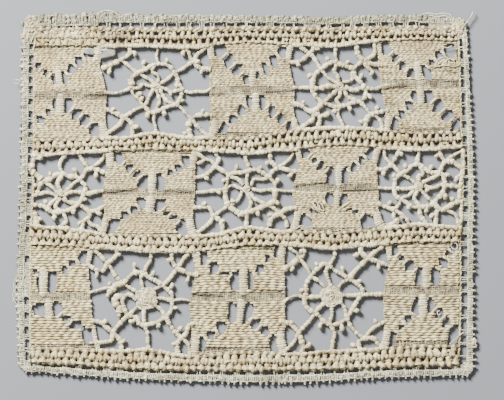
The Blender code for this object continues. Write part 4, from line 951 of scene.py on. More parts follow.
def makeGround():
    loops = [panelOutline()]
    loops += [wheelOpening(wheel) for wheel in wheels]
    for square in wovenSquares:
        loops += [gapOutline(gap) for gap in square["gaps"]
                  if gap[0] - gap[2] / 2 > upright("left", gap[1]) + build["edgeInset"]]
    for _, _, x, y, size in holes:
        if size > 0:
            loops.append([(x + size * side, y + size * up) for side, up in eyelets["shape"]])
    points, faces = [], []
    for loop in loops:
        area = sum(a[0] * b[1] - b[0] * a[1] for a, b in zip(loop, loop[1:] + loop[:1]))
        faces.append(list(range(len(points), len(points) + len(loop))))
        points += [Vector(p) for p in (loop if area > 0 else loop[::-1])]
    places, _, triangles, _, _, sources = delaunay_2d_cdt(points, [], faces, 1, 1e-5)
    kept = [list(face) for face, source in zip(triangles, sources) if list(source) == [0]]
    used = sorted({i for face in kept for i in face})
    number = {old: new for new, old in enumerate(used)}
    count = len(used)
    vertices = []
    for side in (0.5, -0.5):
        z = (build["groundMiddle"] + side * build["groundThickness"]) * mm
        vertices += [(places[i].x * mm, places[i].y * mm, z) for i in used]
    sheets = [[number[i] for i in face] for face in kept]
    skin = sheets + [[i + count for i in face[::-1]] for face in sheets]
    edges = {(a, b) for face in sheets for a, b in zip(face, face[1:] + face[:1])}
    skin += [(b, a, a + count, b + count) for a, b in edges if (b, a) not in edges]
    mesh = bpy.data.meshes.new("laceGround")
    mesh.from_pydata(vertices, [], skin)
    # The ground takes the near-black painted shade
    mesh.materials.append(materials["groundShade"])
    area = 0.0
    for face in sheets:
        a, b, c = (Vector(vertices[i]) for i in face)
        area += (b - a).cross(c - a).length / 2
    return finishMesh("laceGround", mesh), area


ground, groundArea = makeGround()
print("ground made, area in square metres:", round(groundArea, 5))


# Woven petals and linen strips: rows of thread across each square, stopping at its gaps

weave = {
    "sample": 0.25,   # step along a row
    "rowHalf": 0.51,   # half thickness of a petal's row, in pitches
    "dash": 2.8,   # length of a stitch in pitches of the rows
    "linenPitch": 0.62,   # distance of the linen's threads, and their half thickness
    "linenThick": 0.235,
    "underBand": 1.0,   # how far the cloth reaches under the bands
    "ragged": 0.18,   # how much the ends of the rows vary
    "arch": 0.0016,   # how far a row bends at 1 mm from the square's middle
    "creaseHeight": 0.3,
    "margin": 0.1,   # how far a row may pass the edge of a band
}


def creaseLift(x, y):   # cloth stands up above a crease and drops below it
    lift = 0.0
    for x0, y0, x1, y1, depth in creases:
        if x0 - 0.5 < x < x1 + 0.5:
            away = y - (y0 + (y1 - y0) * (x - x0) / (x1 - x0))
            height = depth * weave["creaseHeight"]
            lift += height * math.exp(-((away - 0.5) / 0.5) ** 2)
            lift -= height * math.exp(-((away + 0.2) / 0.3) ** 2)
    return lift


def closedRuns(square, xs, ys, grow):   # the stretches of a row that lie in the cloth
    high, low = rowEdges[square["row"]]
    away = ys > np.interp(xs, acrossLines["x"], acrossLines[high]) + weave["margin"]
    away |= ys < np.interp(xs, acrossLines["x"], acrossLines[low]) - weave["margin"]
    for gap in square["gaps"]:
        away |= insideGap(gap, xs, ys, grow)
    runs, run = [], []
    for x, y, gone in zip(xs, ys, away):
        if not gone:
            run.append((x, y))
        elif run:
            runs.append(run)
            run = []
    if run:
        runs.append(run)
    return [each for each in runs if len(each) > 2]


def threadRun(run, every, thick, phase=0.0, beat=1000.0, shade=0.0):
    kept = run[::every]
    if run[-1] != kept[-1]:
        kept.append(run[-1])
    points = [(x, y, build["middleHeight"] + creaseLift(x, y)) for x, y in kept]
    return thread(points, thick, phase, beat, shade)


def linenWarp(square, stretches):   # the upright threads of the linen, in stretches of rows
    left, right = squareSpan(square, square["middle"])
    threads = []
    for begin, stop, apart in stretches:
        for x in np.arange(left + 0.3, right, apart):
            at = x + rnd.uniform(-0.12, 0.12)
            ys = np.arange(begin, stop, -weave["sample"])
            for run in closedRuns(square, np.full(len(ys), at), ys, 0.0):
                thick = weave["linenThick"] * rnd.uniform(0.7, 1.2)
                threads.append(threadRun(run, 3, thick, shade=rnd.uniform(0, 0.35)))
    return threads


def weaveSquare(square):
    high, low = rowEdges[square["row"]]
    middle, pitch = square["middle"], square["pitch"]
    middleX = sum(squareSpan(square, middle)) / 2
    petals, linen = [], []
    topHem, lowHem = (weave["underBand"] + height for height in square["hems"])
    y = top = across(high, middleX) + weave["underBand"]
    end = across(low, middleX) - weave["underBand"]
    while y > end:
        inHem = y > top - topHem or y < end + lowHem
        left, right = (x + rnd.uniform(-1, 1) * weave["ragged"] for x in squareSpan(square, y))
        xs = np.arange(left, right, weave["sample"])
        if inHem or abs(y - middle) < build["stripHalf"]:
            line = high if y > middle else low
            bend = np.interp(xs, acrossLines["x"], acrossLines[line]) - across(line, middleX)
            bend = bend * (abs(y - middle) > build["stripHalf"])   # a hem follows its band
            for run in closedRuns(square, xs, y + bend, 0.0):
                linen.append(threadRun(run, 4, weave["linenThick"], shade=rnd.uniform(0, 0.3)))
            y -= weave["linenPitch"]
            continue
        arch = weave["arch"] * (xs - middleX) ** 2 * (1 if y > middle else -1)
        ragged = rnd.uniform(-0.5, 0.5) * weave["ragged"]
        dash = weave["dash"] * pitch * rnd.uniform(0.7, 1.4)
        for run in closedRuns(square, xs, y - arch, ragged):
            petals.append(threadRun(run, 4, pitch * weave["rowHalf"], rnd.random(), dash,
                                    rnd.uniform(0, 0.25)))
        y -= pitch * rnd.uniform(0.9, 1.1)
    apart = weave["linenPitch"]
    return petals, linen + linenWarp(square, (
        (middle + build["stripHalf"], middle - build["stripHalf"], apart),
        (top, top - topHem, 2 * apart), (end + lowHem, end, 2 * apart)))


weaveSizes = {"Sides": 6, "Wander": 0.0003, "Wander Size": 0.005, "Fuzz": 0.45, "Lump Length": 0.0018,
              "Lump Height": 0.0005, "Flatness": 0.85, "Rib Depth": 0.0, "Rib Length": 1.0}
petalPieces, linenRows = [], []
for row in range(3):
    petals = []
    for square in wovenSquares:
        if square["row"] == row:
            woven, linen = weaveSquare(square)
            petals += woven
            linenRows += linen
    petalPieces.append(runThreads("petalRows%d" % (row + 1), petals, "petalLinen", {
        **weaveSizes, "Step": 0.00038 if row < 2 else 0.00045, "Lift": 0.00008 if row < 2 else 0.00015,
        "Swell": 0.12, "Seed": float(row)}))
linenStrips = runThreads("linenStrips", linenRows, "stripLinen", {
    **weaveSizes, "Sides": 5, "Step": 0.00045, "Fuzz": 1.1, "Lump Length": 0.0009, "Lump Height": 0.0009,
    "Wander": 0.001, "Wander Size": 0.0013})


# Wrapped bars in the woven squares: across each flight of gaps, between the slots and at the corners

flightStep = {"longest": 5.2, "least": 1.3}   # between two gaps of a flight, in all and along x or y
flatHalf = {"least": 0.75, "most": 1.4}   # half width of a flat strip


def bridgeBars():
    threads = []
    for square in wovenSquares:
        gaps = square["gaps"]
        for i, one in enumerate(gaps):
            for other in gaps[i + 1:]:
                dx, dy = other[0] - one[0], other[1] - one[1]
                apart = math.hypot(dx, dy)
                if apart < flightStep["longest"] and min(abs(dx), abs(dy)) > flightStep["least"]:
                    middle = Vector(((one[0] + other[0]) / 2, (one[1] + other[1]) / 2))
                    side = Vector((-dy, dx)).normalized() * rnd.uniform(1.1, 1.5)
                    bow = Vector((dx, dy)).normalized() * rnd.uniform(-0.25, 0.25)
                    z = build["middleHeight"]
                    points = [(p.x, p.y, h) for p, h in
                              ((middle - side, z), (middle + bow, z + 0.2), (middle + side, z))]
                    threads.append(thread(points, [0.4, 0.5, 0.4], rnd.random(), shade=rnd.uniform(0, 0.12)))
    return threads


def slotBars():   # the upright bars between the two middle slots, above and below the strip
    threads = []
    for square in wovenSquares:
        for north in (1, -1):
            near = sorted((gap for gap in square["gaps"] if north * (gap[1] - square["middle"]) > 0),
                          key=lambda gap: abs(gap[1] - square["middle"]))[:2]
            left, right = sorted(near)
            x0 = left[0] + left[2] / 2
            x1 = right[0] - right[2] / 2
            top = max(gap[1] + gap[3] / 2 for gap in near) + 0.2
            low = min(gap[1] - gap[3] / 2 for gap in near) - 0.2
            lean = math.tan(math.radians((left[4] + right[4]) / 2)) * (top - low) / 2
            middle = (x0 + x1) / 2
            half = min((x1 - x0) / 2 + 0.1, flatHalf["most"])
            z = build["middleHeight"]
            points = ((middle + lean, top + 0.6, z - 0.3), (middle + lean / 2, top - 0.5, z),
                      (middle - lean / 2, low + 0.5, z), (middle - lean, low - 0.6, z - 0.3))
            threads.append(thread(points, [half * 0.7, half, half, half * 0.7], rnd.random()))
    return threads


def cornerStrips():   # flat strips between the corner gaps of a woven square and the wheels beside it
    threads = []
    for square in wovenSquares:
        row, column = square["row"], square["column"]
        for line, north in zip(rowEdges[row], (1, -1)):
            near = [gap for gap in square["gaps"] if north * (gap[1] - square["middle"]) > 0]
            for side, east in ((column - 1, -1), (column, 1)):
                if not 0 <= side <= 3:
                    continue
                gap = max(near, key=lambda gap: east * gap[0])
                edge = squareSide(row, side, gap[1])
                rim = gap[0] + east * gap[2] / 2
                half = min(max(abs(edge - rim) / 2 + 0.1, flatHalf["least"]), flatHalf["most"])
                foot = squareSide(row, side, across(line, edge)) - east * 0.6 * half
                points = ((foot, bandEdge(line, foot) + north * 0.5), ((edge + rim) / 2, gap[1]),
                          ((edge + rim) / 2 - east * 0.3, gap[1] - north * (gap[3] / 2 + 0.8)))
                threads.append(thread(points, [half * 1.05, half, half * 0.75], rnd.random()))
    return threads


# Wheels

bars = {
    "scale": 0.92,
    "frame": 0.64,   # half thickness of the cords above and below
    "frameLift": 0.5,   # they lie over the edges of the bands
    "ribDepths": (0.07, 0.04, 0.08),   # of the wrapping in each row; the middle row is smooth
}
picot = {
    "neck": (1.0, 2.0),   # its shortest and longest
    # Along the neck, aside, half thickness and lift of each point
    "course": ((0.0, 0.0, 0.5, 0.0), (0.4, -0.2, 0.45, 0.1), (0.75, -0.2, 0.68, 0.25),
               (1.0, 0.3, 0.74, 0.3), (1.1, 1.0, 0.62, 0.25), (1.0, 1.6, 0.3, 0.2)),
}
coil = {"turnPitch": 0.72, "stepsPerTurn": 12, "half": 0.42, "rise": 0.4, "shade": 0.16}   # of a hub


def wheelBars(wheel):
    hubX, hubY = wheel["hub"]
    threads = []
    for half, *places in wheel["bars"]:
        points = [(hubX + x, hubY + y) for x, y in zip(places[::2], places[1::2])]
        thicks = [half * bars["scale"] * rnd.uniform(0.88, 1.12) for _ in points]
        threads.append(thread(points, thicks, rnd.random(), shade=rnd.uniform(0, 0.1)))
    return threads


def frameBars(wheel):   # the wrapped cords that edge a wheel's square above and below
    threads = []
    for line, north in zip(rowEdges[wheel["row"]], (1, -1)):
        y = wheel["hub"][1] + north * 14   # about where the sides of the square meet the band
        left, right = squareSpan(wheel, y)
        xs = np.linspace(left - 0.5, right + 0.5, 18)
        z = build["middleHeight"] + bars["frameLift"]
        points = [(x, bandEdge(line, x) + north * 0.1 + rnd.uniform(-0.15, 0.15), z) for x in xs]
        threads.append(thread(points, [bars["frame"] * rnd.uniform(0.8, 1.2) for _ in xs]))
    return threads


def picotThread(wheel, tip, made):   # a knot on a short neck, from the nearest bar to its tip
    tip = Vector(wheel["hub"]) + Vector(tip)
    near = min((Vector(p[:2]) for each in made for p in each["points"]), key=lambda p: (p - tip).length)
    away = tip - near
    shortest, longest = picot["neck"]
    if away.length < shortest:
        away = away.normalized() * shortest if away.length > 0.01 else Vector((0, shortest))
    if away.length > longest:
        near += away * (1 - longest / away.length)
        away = away.normalized() * longest
    curl = Vector((-away.y, away.x)).normalized() * rnd.uniform(-0.7, 0.7)
    points = [(*(near + away * share + curl * aside), build["middleHeight"] + lift)
              for share, aside, _, lift in picot["course"]]
    size = rnd.uniform(1.0, 1.35)
    return thread(points, [half * size for _, _, half, _ in picot["course"]])


def hubCoil(wheel):   # a woven disc, or the small knot where the spokes cross
    (x, y), radius = wheel["hub"], wheel["hubRadius"]
    points = []
    turns = max(1.0, radius / coil["turnPitch"])
    steps = int(turns * coil["stepsPerTurn"])
    for i in range(steps + 1):
        share = i / steps
        turn = 2 * math.pi * turns * share
        reach = 0.3 + (radius - 0.4) * share * (1 + 0.08 * math.sin(4 * turn + x))
        points.append((x + reach * math.cos(turn), y + reach * math.sin(turn),
                       build["middleHeight"] + coil["rise"] * (1 - share)))
    return thread(points, [coil["half"] * rnd.uniform(0.7, 1.3) for _ in points], shade=coil["shade"])


knotSizes = {"Sides": 8, "Step": 0.00028, "Rib Depth": 0.06, "Rib Length": 0.0007, "Wander": 0.0004,
             "Wander Size": 0.0045, "Fuzz": 0.35, "Flatness": 0.9, "Seed": 7.0}
wheelPieces = []
picots, coils = [], []
for row in range(3):
    made = []
    for wheel in wheels:
        if wheel["row"] == row:
            barThreads = wheelBars(wheel)
            picots += [picotThread(wheel, tip, barThreads) for tip in wheel["picots"]]
            coils.append(hubCoil(wheel))
            made += barThreads + frameBars(wheel)
    wheelPieces.append(runThreads("wheelBars%d" % (row + 1), made, "barThread", {
        **knotSizes, "Sides": 9, "Step": 0.00022, "Rib Depth": bars["ribDepths"][row], "Rib Length": 0.0008,
        "Fuzz": 0.75, "Flatness": 0.82, "Seed": 5.0}))
wheelPieces.append(runThreads("wheelPicots", picots, "barThread", knotSizes))
wheelPieces.append(runThreads("wheelHubs", coils, "barThread", {
    **knotSizes, "Wander": 0.0009, "Wander Size": 0.0016, "Fuzz": 0.7}))
wheelPieces.append(runThreads("petalBars", bridgeBars(), "barThread", {
    **knotSizes, "Rib Depth": 0.09, "Rib Length": 0.0007}))
wheelPieces.append(runThreads("flatStrips", slotBars() + cornerStrips(), "barThread", {
    **knotSizes, "Sides": 12, "Step": 0.0002, "Rib Depth": 0.13, "Rib Length": 0.00075, "Flatness": 0.42,
    "Fuzz": 0.4, "Lump Length": 0.0016, "Lump Height": 0.0005}))


# Bands: three cords with bundles between them, which leave the eyelets open

bandWork = {
    "cords": ((0.07, 0.62), (0.5, 0.74), (0.93, 0.62)),   # share of the band's height, half thickness
    "cordStep": 1.25,
    "cordLift": 0.22,
    "foot": 0.82,   # half thickness of a bundle at its foot, in the middle and at its head
    "waist": 0.64,
    "head": 0.44,
    "slant": 0.55,
    "besideWoven": 0.75,   # what is left of an outer cord's thickness beside a woven square
}


def besideWoven(line, x):
    for square in wovenSquares:
        if line in rowEdges[square["row"]]:
            left, right = squareSpan(square, across(line, x))
            if left < x < right:
                return True
    return False


def bandCords():
    threads = []
    z = build["middleHeight"] + bandWork["cordLift"]
    for lines, size in zip(bands, eyelets["sizes"]):
        for share, half in bandWork["cords"]:
            y = bandPoint(lines, share, 0)
            xs = np.arange(upright("left", y) + 0.3, upright("right", y) - 0.2, bandWork["cordStep"])
            points = [(x, bandPoint(lines, share, x) + rnd.uniform(-0.2, 0.2), z) for x in xs]
            grow = 1.75 - 0.75 * size   # cords are thicker where the eyelets are small
            thicks = [grow * half * rnd.uniform(0.75, 1.2) for _ in xs]
            if share != 0.5:
                line = lines[0] if share < 0.5 else lines[1]
                thicks = [thick * (bandWork["besideWoven"] if besideWoven(line, x) else 1.0)
                          for thick, x in zip(thicks, xs)]
            threads.append(thread(points, thicks, rnd.random(),
                                  build["eyeletPitch"] / (2 if share == 0.5 else 1), rnd.uniform(0, 0.08)))
    return threads


def bandBundles():
    threads = []
    z = build["middleHeight"]
    cordShares = [share for share, _ in bandWork["cords"]]
    for lines, size in zip(bands, eyelets["sizes"]):
        for share, _ in eyelets["lanes"]:
            lane = [(x, y, width) for owner, at, x, y, width in holes if owner is lines and at == share]
            xs = [x for x, _, _ in lane]
            for x, y, width in lane:
                if width == 0 and not tightBand(lines, x):   # a knot fills a closed eyelet
                    course = ((x - 0.55, y - 0.3), (x + rnd.uniform(-0.2, 0.2), y + 0.25),
                              (x + 0.55, y - 0.2))
                    threads.append(thread(course, 0.5 * rnd.uniform(0.8, 1.1), shade=rnd.uniform(0, 0.3)))
            feet = [xs[0] - build["eyeletPitch"] / 2] + [(a + b) / 2 for a, b in zip(xs, xs[1:])]
            feet.append(xs[-1] + build["eyeletPitch"] / 2)
            top, low = cordShares[:2] if share < 0.5 else cordShares[1:]
            for foot in feet:
                foot += rnd.uniform(-0.15, 0.15)
                head = foot + rnd.uniform(-1, 1) * bandWork["slant"]
                points = [(foot, bandPoint(lines, low, foot), z + 0.1),
                          ((foot + head) / 2, bandPoint(lines, (top + low) / 2 + 0.03, foot), z + 0.1),
                          (head, bandPoint(lines, top, head), z - 0.1)]
                grow = (1.9 - 0.9 * size) * (1.3 if tightBand(lines, foot) else 1.0)
                vary = rnd.uniform(0.85, 1.15)
                thicks = [bandWork[key] * vary * grow ** power
                          for key, power in (("foot", 1), ("waist", 1.3), ("head", 1.8))]
                threads.append(thread(points, thicks, shade=rnd.uniform(0, 0.35)))
    return threads


bandPieces = [
    runThreads("bandCords", bandCords(), "bandThread", {
        **knotSizes, "Sides": 7, "Step": 0.00036, "Rib Depth": 0.0, "Swell": 0.22, "Wander": 0.0004,
        "Fuzz": 0.8}),
    runThreads("bandBundles", bandBundles(), "bandThread", {
        **knotSizes, "Sides": 7, "Step": 0.0004, "Rib Depth": 0.0, "Wander": 0.0003, "Fuzz": 0.7,
        "Flatness": 0.9}),
]


# The hem round the panel: two strands twisted into a rope

hem = {   # half thickness, place inwards of the panel's line, and length of a full turn
    "half": {"left": 0.35, "right": 0.34, "top": 0.6, "bottom": 0.55},
    "inset": {"left": 0.3, "right": 0.0, "top": 0.75, "bottom": 0.6},
    "twist": 3.4,
}


def hemRopes():
    threads = []
    for side, half in hem["half"].items():
        upDown = side in ("left", "right")
        inward = hem["inset"][side] * (1 if side in ("left", "bottom") else -1)
        if upDown:
            low, high = acrossLines["bottom"][0], acrossLines["top"][0]
        else:
            low, high = sideLines["left"][0], sideLines["right"][0]
        for strand in (0, 0.5):
            points = []
            for place in np.arange(low, high, 0.6):
                turn = 2 * math.pi * (place / hem["twist"] + strand)
                offset = inward + 0.5 * half * math.sin(turn)
                z = build["middleHeight"] + 0.5 * half * math.cos(turn)
                if upDown:
                    points.append((upright(side, place) + offset, place, z))
                else:
                    points.append((place, across(side, place) + offset, z))
            threads.append(thread(points, [half * 0.8 * rnd.uniform(0.85, 1.15) for _ in points],
                                  shade=rnd.uniform(0, 0.08)))
    return threads


hemPiece = runThreads("hemRopes", hemRopes(), "bandThread", {
    **knotSizes, "Sides": 7, "Step": 0.0004, "Rib Depth": 0.06, "Rib Length": 0.0006, "Fuzz": 0.5})


# The tape round the panel: ribs across it, every third one with a picot at its end

tape = {
    "ribPitch": 0.7,
    "rib": 0.38,   # half thickness of a rib and of the cords along the tape
    "cord": 0.22,
    "inner": {"left": 0.41, "right": 0.54, "top": 0.38, "bottom": 0.38},   # share where the tape starts
    "tooth": {"left": 0.82, "right": 0.87, "top": 0.86, "bottom": 0.82},   # where the plain ribs end
    "reach": {"left": 1.06, "right": 1.08, "top": 1.0, "bottom": 1.04},   # where the picots end
    "picots": {"left": 0.95, "right": 0.95, "top": 0.9, "bottom": 0.9},   # share that are there
    "tip": {"left": 0.58, "right": 0.48, "top": 0.72, "bottom": 0.45},   # half thickness of a picot
    "fuzz": {"left": 0.8, "right": 0.8, "top": 1.2, "bottom": 0.9},
    "shade": {"left": 0.14, "right": 0.0, "top": 0.24, "bottom": 0.1},
    "tightBefore": -50.0,   # left of this the top tape lies close to the panel
    "tightShare": 0.35,   # of the usual distance
    "slant": {"left": 0.4, "right": 0.4, "top": 0.8, "bottom": 0.5},
    "knots": {"left": 80, "right": 50, "top": 400, "bottom": 80},
    "knot": (0.55, 0.34),   # half length and half thickness
    "overhang": 2.6,   # of the side tapes past the panel
    "endInset": 0.5,   # of the top and bottom tapes, from the outer sides
    "cornerReach": 2.2,
    "cornerCut": 0.5,   # how much of its width a tape loses at its end
}


def tapeCross(side, place):   # the inner and the outer point of the tape at a place along it
    low, high = tapeRange(side)
    corner = max(0.0, 1 - min(place - low, high - place) / tape["cornerReach"])
    outer = "outer" + side.capitalize()
    if side in ("left", "right"):
        inner, outer = Vector((upright(side, place), place)), Vector((upright(outer, place), place))
    else:
        inner, outer = Vector((place, across(side, place))), Vector((place, across(outer, place)))
    return inner, outer.lerp(inner, tape["cornerCut"] * corner ** 2)


def tapeStart(side, place):   # the share of the way out at which the tape starts
    tight = side == "top" and place < tape["tightBefore"]
    return tape["inner"][side] * (tape["tightShare"] if tight else 1.0)


def tapeRange(side):   # where a tape begins and ends
    if side in ("left", "right"):
        column = 0 if side == "left" else -1
        return acrossLines["bottom"][column] - tape["overhang"], acrossLines["top"][column] + tape["overhang"]
    row = 0 if side == "bottom" else -1
    return sideLines["outerLeft"][row] + tape["endInset"], sideLines["outerRight"][row] - tape["endInset"]


def knot(x, y, spread, half, dim=0.0):   # a short thread lying any way, one of many in a knotted patch
    turn = rnd.uniform(0, math.pi)
    dx, dy = spread * math.cos(turn), spread * math.sin(turn)
    z = build["middleHeight"] + rnd.uniform(0.1, 0.35)
    bend = rnd.uniform(-0.3, 0.3)
    points = ((x - dx, y - dy, z - 0.2), (x - bend * dy, y + bend * dx, z), (x + dx, y + dy, z - 0.2))
    thicks = [half * 0.7, half * rnd.uniform(0.8, 1.2), half * 0.7]
    return thread(points, thicks, shade=dim + rnd.uniform(0, 0.3))


def makeTape(side):
    low, high = tapeRange(side)
    tooth, dim = tape["tooth"][side], tape["shade"][side]
    z = build["middleHeight"]
    ribs = []
    count = int((high - low) / tape["ribPitch"])
    for i in range(count + 1):
        place = low + (high - low) * i / count
        start = tapeStart(side, place)
        inner, outer = tapeCross(side, place)
        looped = i % 3 == 0 and rnd.random() < tape["picots"][side]
        end = tape["reach"][side] * rnd.uniform(0.93, 1.05) if looped else tooth * rnd.uniform(0.94, 1.06)
        slant = rnd.uniform(-1, 1) * tape["slant"][side]
        points = []
        for share, lift in ((start - 0.03, -0.1), ((start + tooth) / 2, 0.2), (tooth, 0.05), (end, 0.0)):
            point = inner.lerp(outer, share)
            shift = slant * (share - start)
            point += Vector((0, shift)) if side in ("left", "right") else Vector((shift, 0))
            points.append((*point, z + lift))
        if not looped:
            points.pop(2)
        half = tape["rib"] * rnd.uniform(0.85, 1.1)
        tip = tape["tip"][side] * rnd.uniform(0.85, 1.1)
        thicks = [half * 0.9, half, tip, tip * 0.8] if looped else [half * 0.9, half, half * 0.8]
        ribs.append(thread(points, thicks, rnd.random(), shade=dim + rnd.uniform(0, 0.45)))
    for _ in range(tape["knots"][side]):
        place = rnd.uniform(low + 0.8, high - 0.8)
        inner, outer = tapeCross(side, place)
        middle = inner.lerp(outer, rnd.uniform(tapeStart(side, place) + 0.05, tooth))
        ribs.append(knot(*middle, *tape["knot"], dim))
    for inside in (True, False):
        points = []
        for place in np.linspace(low, high, int((high - low) / 1.2)):
            inner, outer = tapeCross(side, place)
            share = tapeStart(side, place) + 0.04 if inside else tooth - 0.02
            point = inner.lerp(outer, share + rnd.uniform(-0.05, 0.05))
            points.append((point.x, point.y, z + rnd.uniform(0.1, 0.3)))
        thicks = [tape["cord"] * rnd.uniform(0.7, 1.3) for _ in points]
        ribs.append(thread(points, thicks, rnd.random(), shade=dim))
    return runThreads("edging%s" % side.capitalize(), ribs, "tapeThread", {
        **knotSizes, "Sides": 7, "Step": 0.0003, "Rib Depth": 0.0, "Wander Size": 0.003,
        "Wander": 0.0007 * tape["fuzz"][side], "Fuzz": tape["fuzz"][side], "Seed": 9.0})


edging = {side: makeTape(side) for side in ("left", "right", "top", "bottom")}


# The ladder of stitches between panel and tape; its slots are left open

ladderSizes = {
    "thick": 0.2,
    "pitch": 0.42,
    "slotHalf": {"left": 1.5, "right": 1.75, "top": 1.6, "bottom": 1.7},
    "bow": 0.35,   # how far the outer threads of a group spread at both ends, round the slots
    "endInset": 1.5,
}
slots = {   # middles of the open slots, along each side
    "left": (50.5, 46.4, 42.7, 39.4, 36.1, 32.1, 27.9, 24.2, 21.0, 15.8, 13.0, 8.5, 4.0, 0.5, -1.0,
             -6.7, -10.5, -20.3, -34.2, -39.1, -44.1, -48.5, -52.7),
    "right": (51.7, 47.7, 42.3, 38.2, 33.5, 29.0, 24.5, 19.7, 15.7, 12.3, 8.3, 5.5, 1.1, -3.7, -8.7,
              -13.3, -17.3, -21.0, -25.3, -29.3, -33.3, -37.5, -42.0, -46.7, -50.7, -54.3),
    "top": (-66.8, -63.2, -59.2, -55.4, -51.8, -48.1, -43.9, -40.5, -37.1, -32.7, -29.0, -25.0, -21.3, -17.3,
            -13.2, -9.4, -5.4, -2.0, 1.6, 4.7, 10.1, 14.2, 17.3, 25.4, 29.7, 33.4, 37.4, 41.7, 46.0, 50.5,
            55.0, 59.1),
    "bottom": (-67.3, -62.9, -58.6, -53.5, -49.1, -44.4, -39.4, -35.6, -31.3, -27.0, -22.8, -18.5,
               -14.2, -10.0, -5.8, -1.4, 3.1, 7.4, 11.2, 15.5, 19.3, 23.5, 27.4, 30.8, 35.5, 43.0, 46.5,
               51.0, 54.0, 58.3, 62.3, 66.4),
}


def ladderPlace(side, place, share):   # share 0 at the panel and 1 at the tape
    inner, outer = tapeCross(side, place)
    point = inner.lerp(outer, share * (tapeStart(side, place) + 0.05))
    return point.x, point.y, build["middleHeight"]


def ladderThreads():
    threads = []
    for side, middles in slots.items():
        low, high = tapeRange(side)
        openings = []
        for middle in sorted(middles):
            half = ladderSizes["slotHalf"][side] * rnd.uniform(0.7, 1.2)
            openings.append((middle - half, middle + half))
        ends = [low + ladderSizes["endInset"]] + [end for _, end in openings]
        starts = [begin for begin, _ in openings] + [high - ladderSizes["endInset"]]
        for begin, end in zip(ends, starts):   # from the end of a slot to the start of the next
            count = max(2, round((end - begin) / ladderSizes["pitch"]))
            for i in range(count):
                share = i / (count - 1)
                middle = begin + (end - begin) * share
                bow = ladderSizes["bow"] * (2 * share - 1)
                half = ladderSizes["thick"] * rnd.uniform(0.8, 1.3)
                points = (ladderPlace(side, middle + bow + rnd.uniform(-0.2, 0.2), -0.1),
                          ladderPlace(side, middle, rnd.uniform(0.35, 0.65)),
                          ladderPlace(side, middle + bow, 1.0))
                threads.append(thread(points, half, shade=rnd.uniform(0, 0.2)))
    return threads


ladder = runThreads("ladderStitches", ladderThreads(), "tapeThread", {
    **knotSizes, "Sides": 6, "Step": 0.00035})
print("tape made")


# Loose threads, mending loops, knots and two patches of grey film

looseRoutes = (   # half thickness, then x and y of each point
    (0.16, -50.0, 60.6, -48.6, 62.0, -46.3, 62.4, -44.0, 61.8, -42.8, 60.8),
    (0.14, 57.7, 60.9, 60.0, 61.6, 62.7, 61.2, 65.0, 61.5, 67.3, 61.2, 68.3, 60.1),
    (0.14, 59.0, 59.8, 61.0, 60.7, 63.5, 60.3, 66.0, 60.7, 68.0, 59.6),
    (0.2, 71.9, 57.0, 72.9, 58.1, 74.2, 59.6, 74.9, 61.0, 75.4, 62.2),
    (0.22, -70.0, 55.9, -71.0, 54.2, -71.9, 52.2),
    (0.25, -70.2, 53.0, -70.7, 51.2, -71.2, 49.2),
    (0.1, -75.4, 39.0, -76.4, 39.5, -77.6, 39.2),
    (0.1, -75.8, 38.2, -76.8, 38.0, -77.4, 38.4),
    (0.12, -76.0, -26.0, -77.2, -27.0, -77.6, -29.5, -77.2, -31.5, -76.4, -33.0),
    (0.1, -76.2, -28.5, -77.0, -30.2, -78.0, -31.8, -77.6, -34.0, -76.4, -35.6),
    (0.1, -76.2, -32.0, -77.4, -33.0, -78.0, -34.5),
    (0.2, 66.2, 45.2, 66.8, 46.1, 67.8, 46.4, 68.9, 45.6, 69.3, 44.6),
    (0.18, 63.0, 44.6, 63.4, 45.8, 64.4, 46.6, 65.4, 46.9),
    (0.2, 62.2, 43.6, 64.0, 43.9, 66.3, 44.2, 68.8, 43.7, 70.6, 44.4),
    (0.16, 65.4, 50.3, 66.8, 50.0, 68.2, 50.7),
    (0.12, 67.4, -48.7, 69.0, -47.3, 70.6, -45.9, 72.2, -44.6),
    (0.12, 15.9, -9.0, 17.6, -9.6, 19.6, -10.9, 21.6, -11.1),
    (0.12, 16.3, -10.3, 18.2, -9.2, 20.0, -9.8, 21.8, -9.4),
    (0.12, 17.0, -11.4, 18.0, -10.4, 19.3, -8.9),
    (0.14, 75.6, -46.8, 76.4, -47.6, 76.0, -48.6, 76.6, -49.2),
)
patchKnot = (0.7, 0.42)   # half length and half thickness
knotPatches = (   # middle, width, height and number of knots
    (70.4, 57.3, 3.2, 4.6, 60), (73.8, -56.4, 2.0, 2.2, 14), (-71.0, 58.6, 5.0, 3.6, 34),
    (-73.4, 54.6, 2.4, 3.6, 16), (-60.5, 53.6, 20.0, 4.4, 110), (75.6, -48.0, 0.8, 2.2, 8),
    (65.5, 45.0, 5.5, 1.6, 10),
)
mendingLoops = (   # middle, half width, half height, lean to the right at its top and turns
    (24.6, -2.9, 0.7, 1.5, -24, 1.2), (23.3, -2.5, 0.7, 1.5, -30, 1.1), (21.9, -2.6, 0.6, 1.4, -36, 0.9),
    (69.1, -16.0, 1.1, 1.1, 0, 1.2), (63.9, -38.3, 0.45, 0.75, 0, 0.8),
)
filmPatches = (   # middle, width, height and the way it leans
    (-52.6, 48.8, 3.6, 2.0, -8.0), (-46.6, 48.3, 5.6, 3.2, 10.0),
)


def loopThread(x, y, halfWidth, halfHeight, lean, turns):
    points = []
    for i in range(int(turns * 10) + 1):
        share = i / (turns * 10)
        turn = 2 * math.pi * turns * share + x
        reach = 1 + 0.12 * math.sin(2.3 * turn)
        up = halfHeight * reach * math.sin(turn)
        side = halfWidth * reach * math.cos(turn) + up * math.tan(math.radians(lean))
        points.append((x + side, y + up, build["middleHeight"] + 0.25 + 0.25 * share))
    return thread(points, 0.12 + 0.05 * halfHeight)


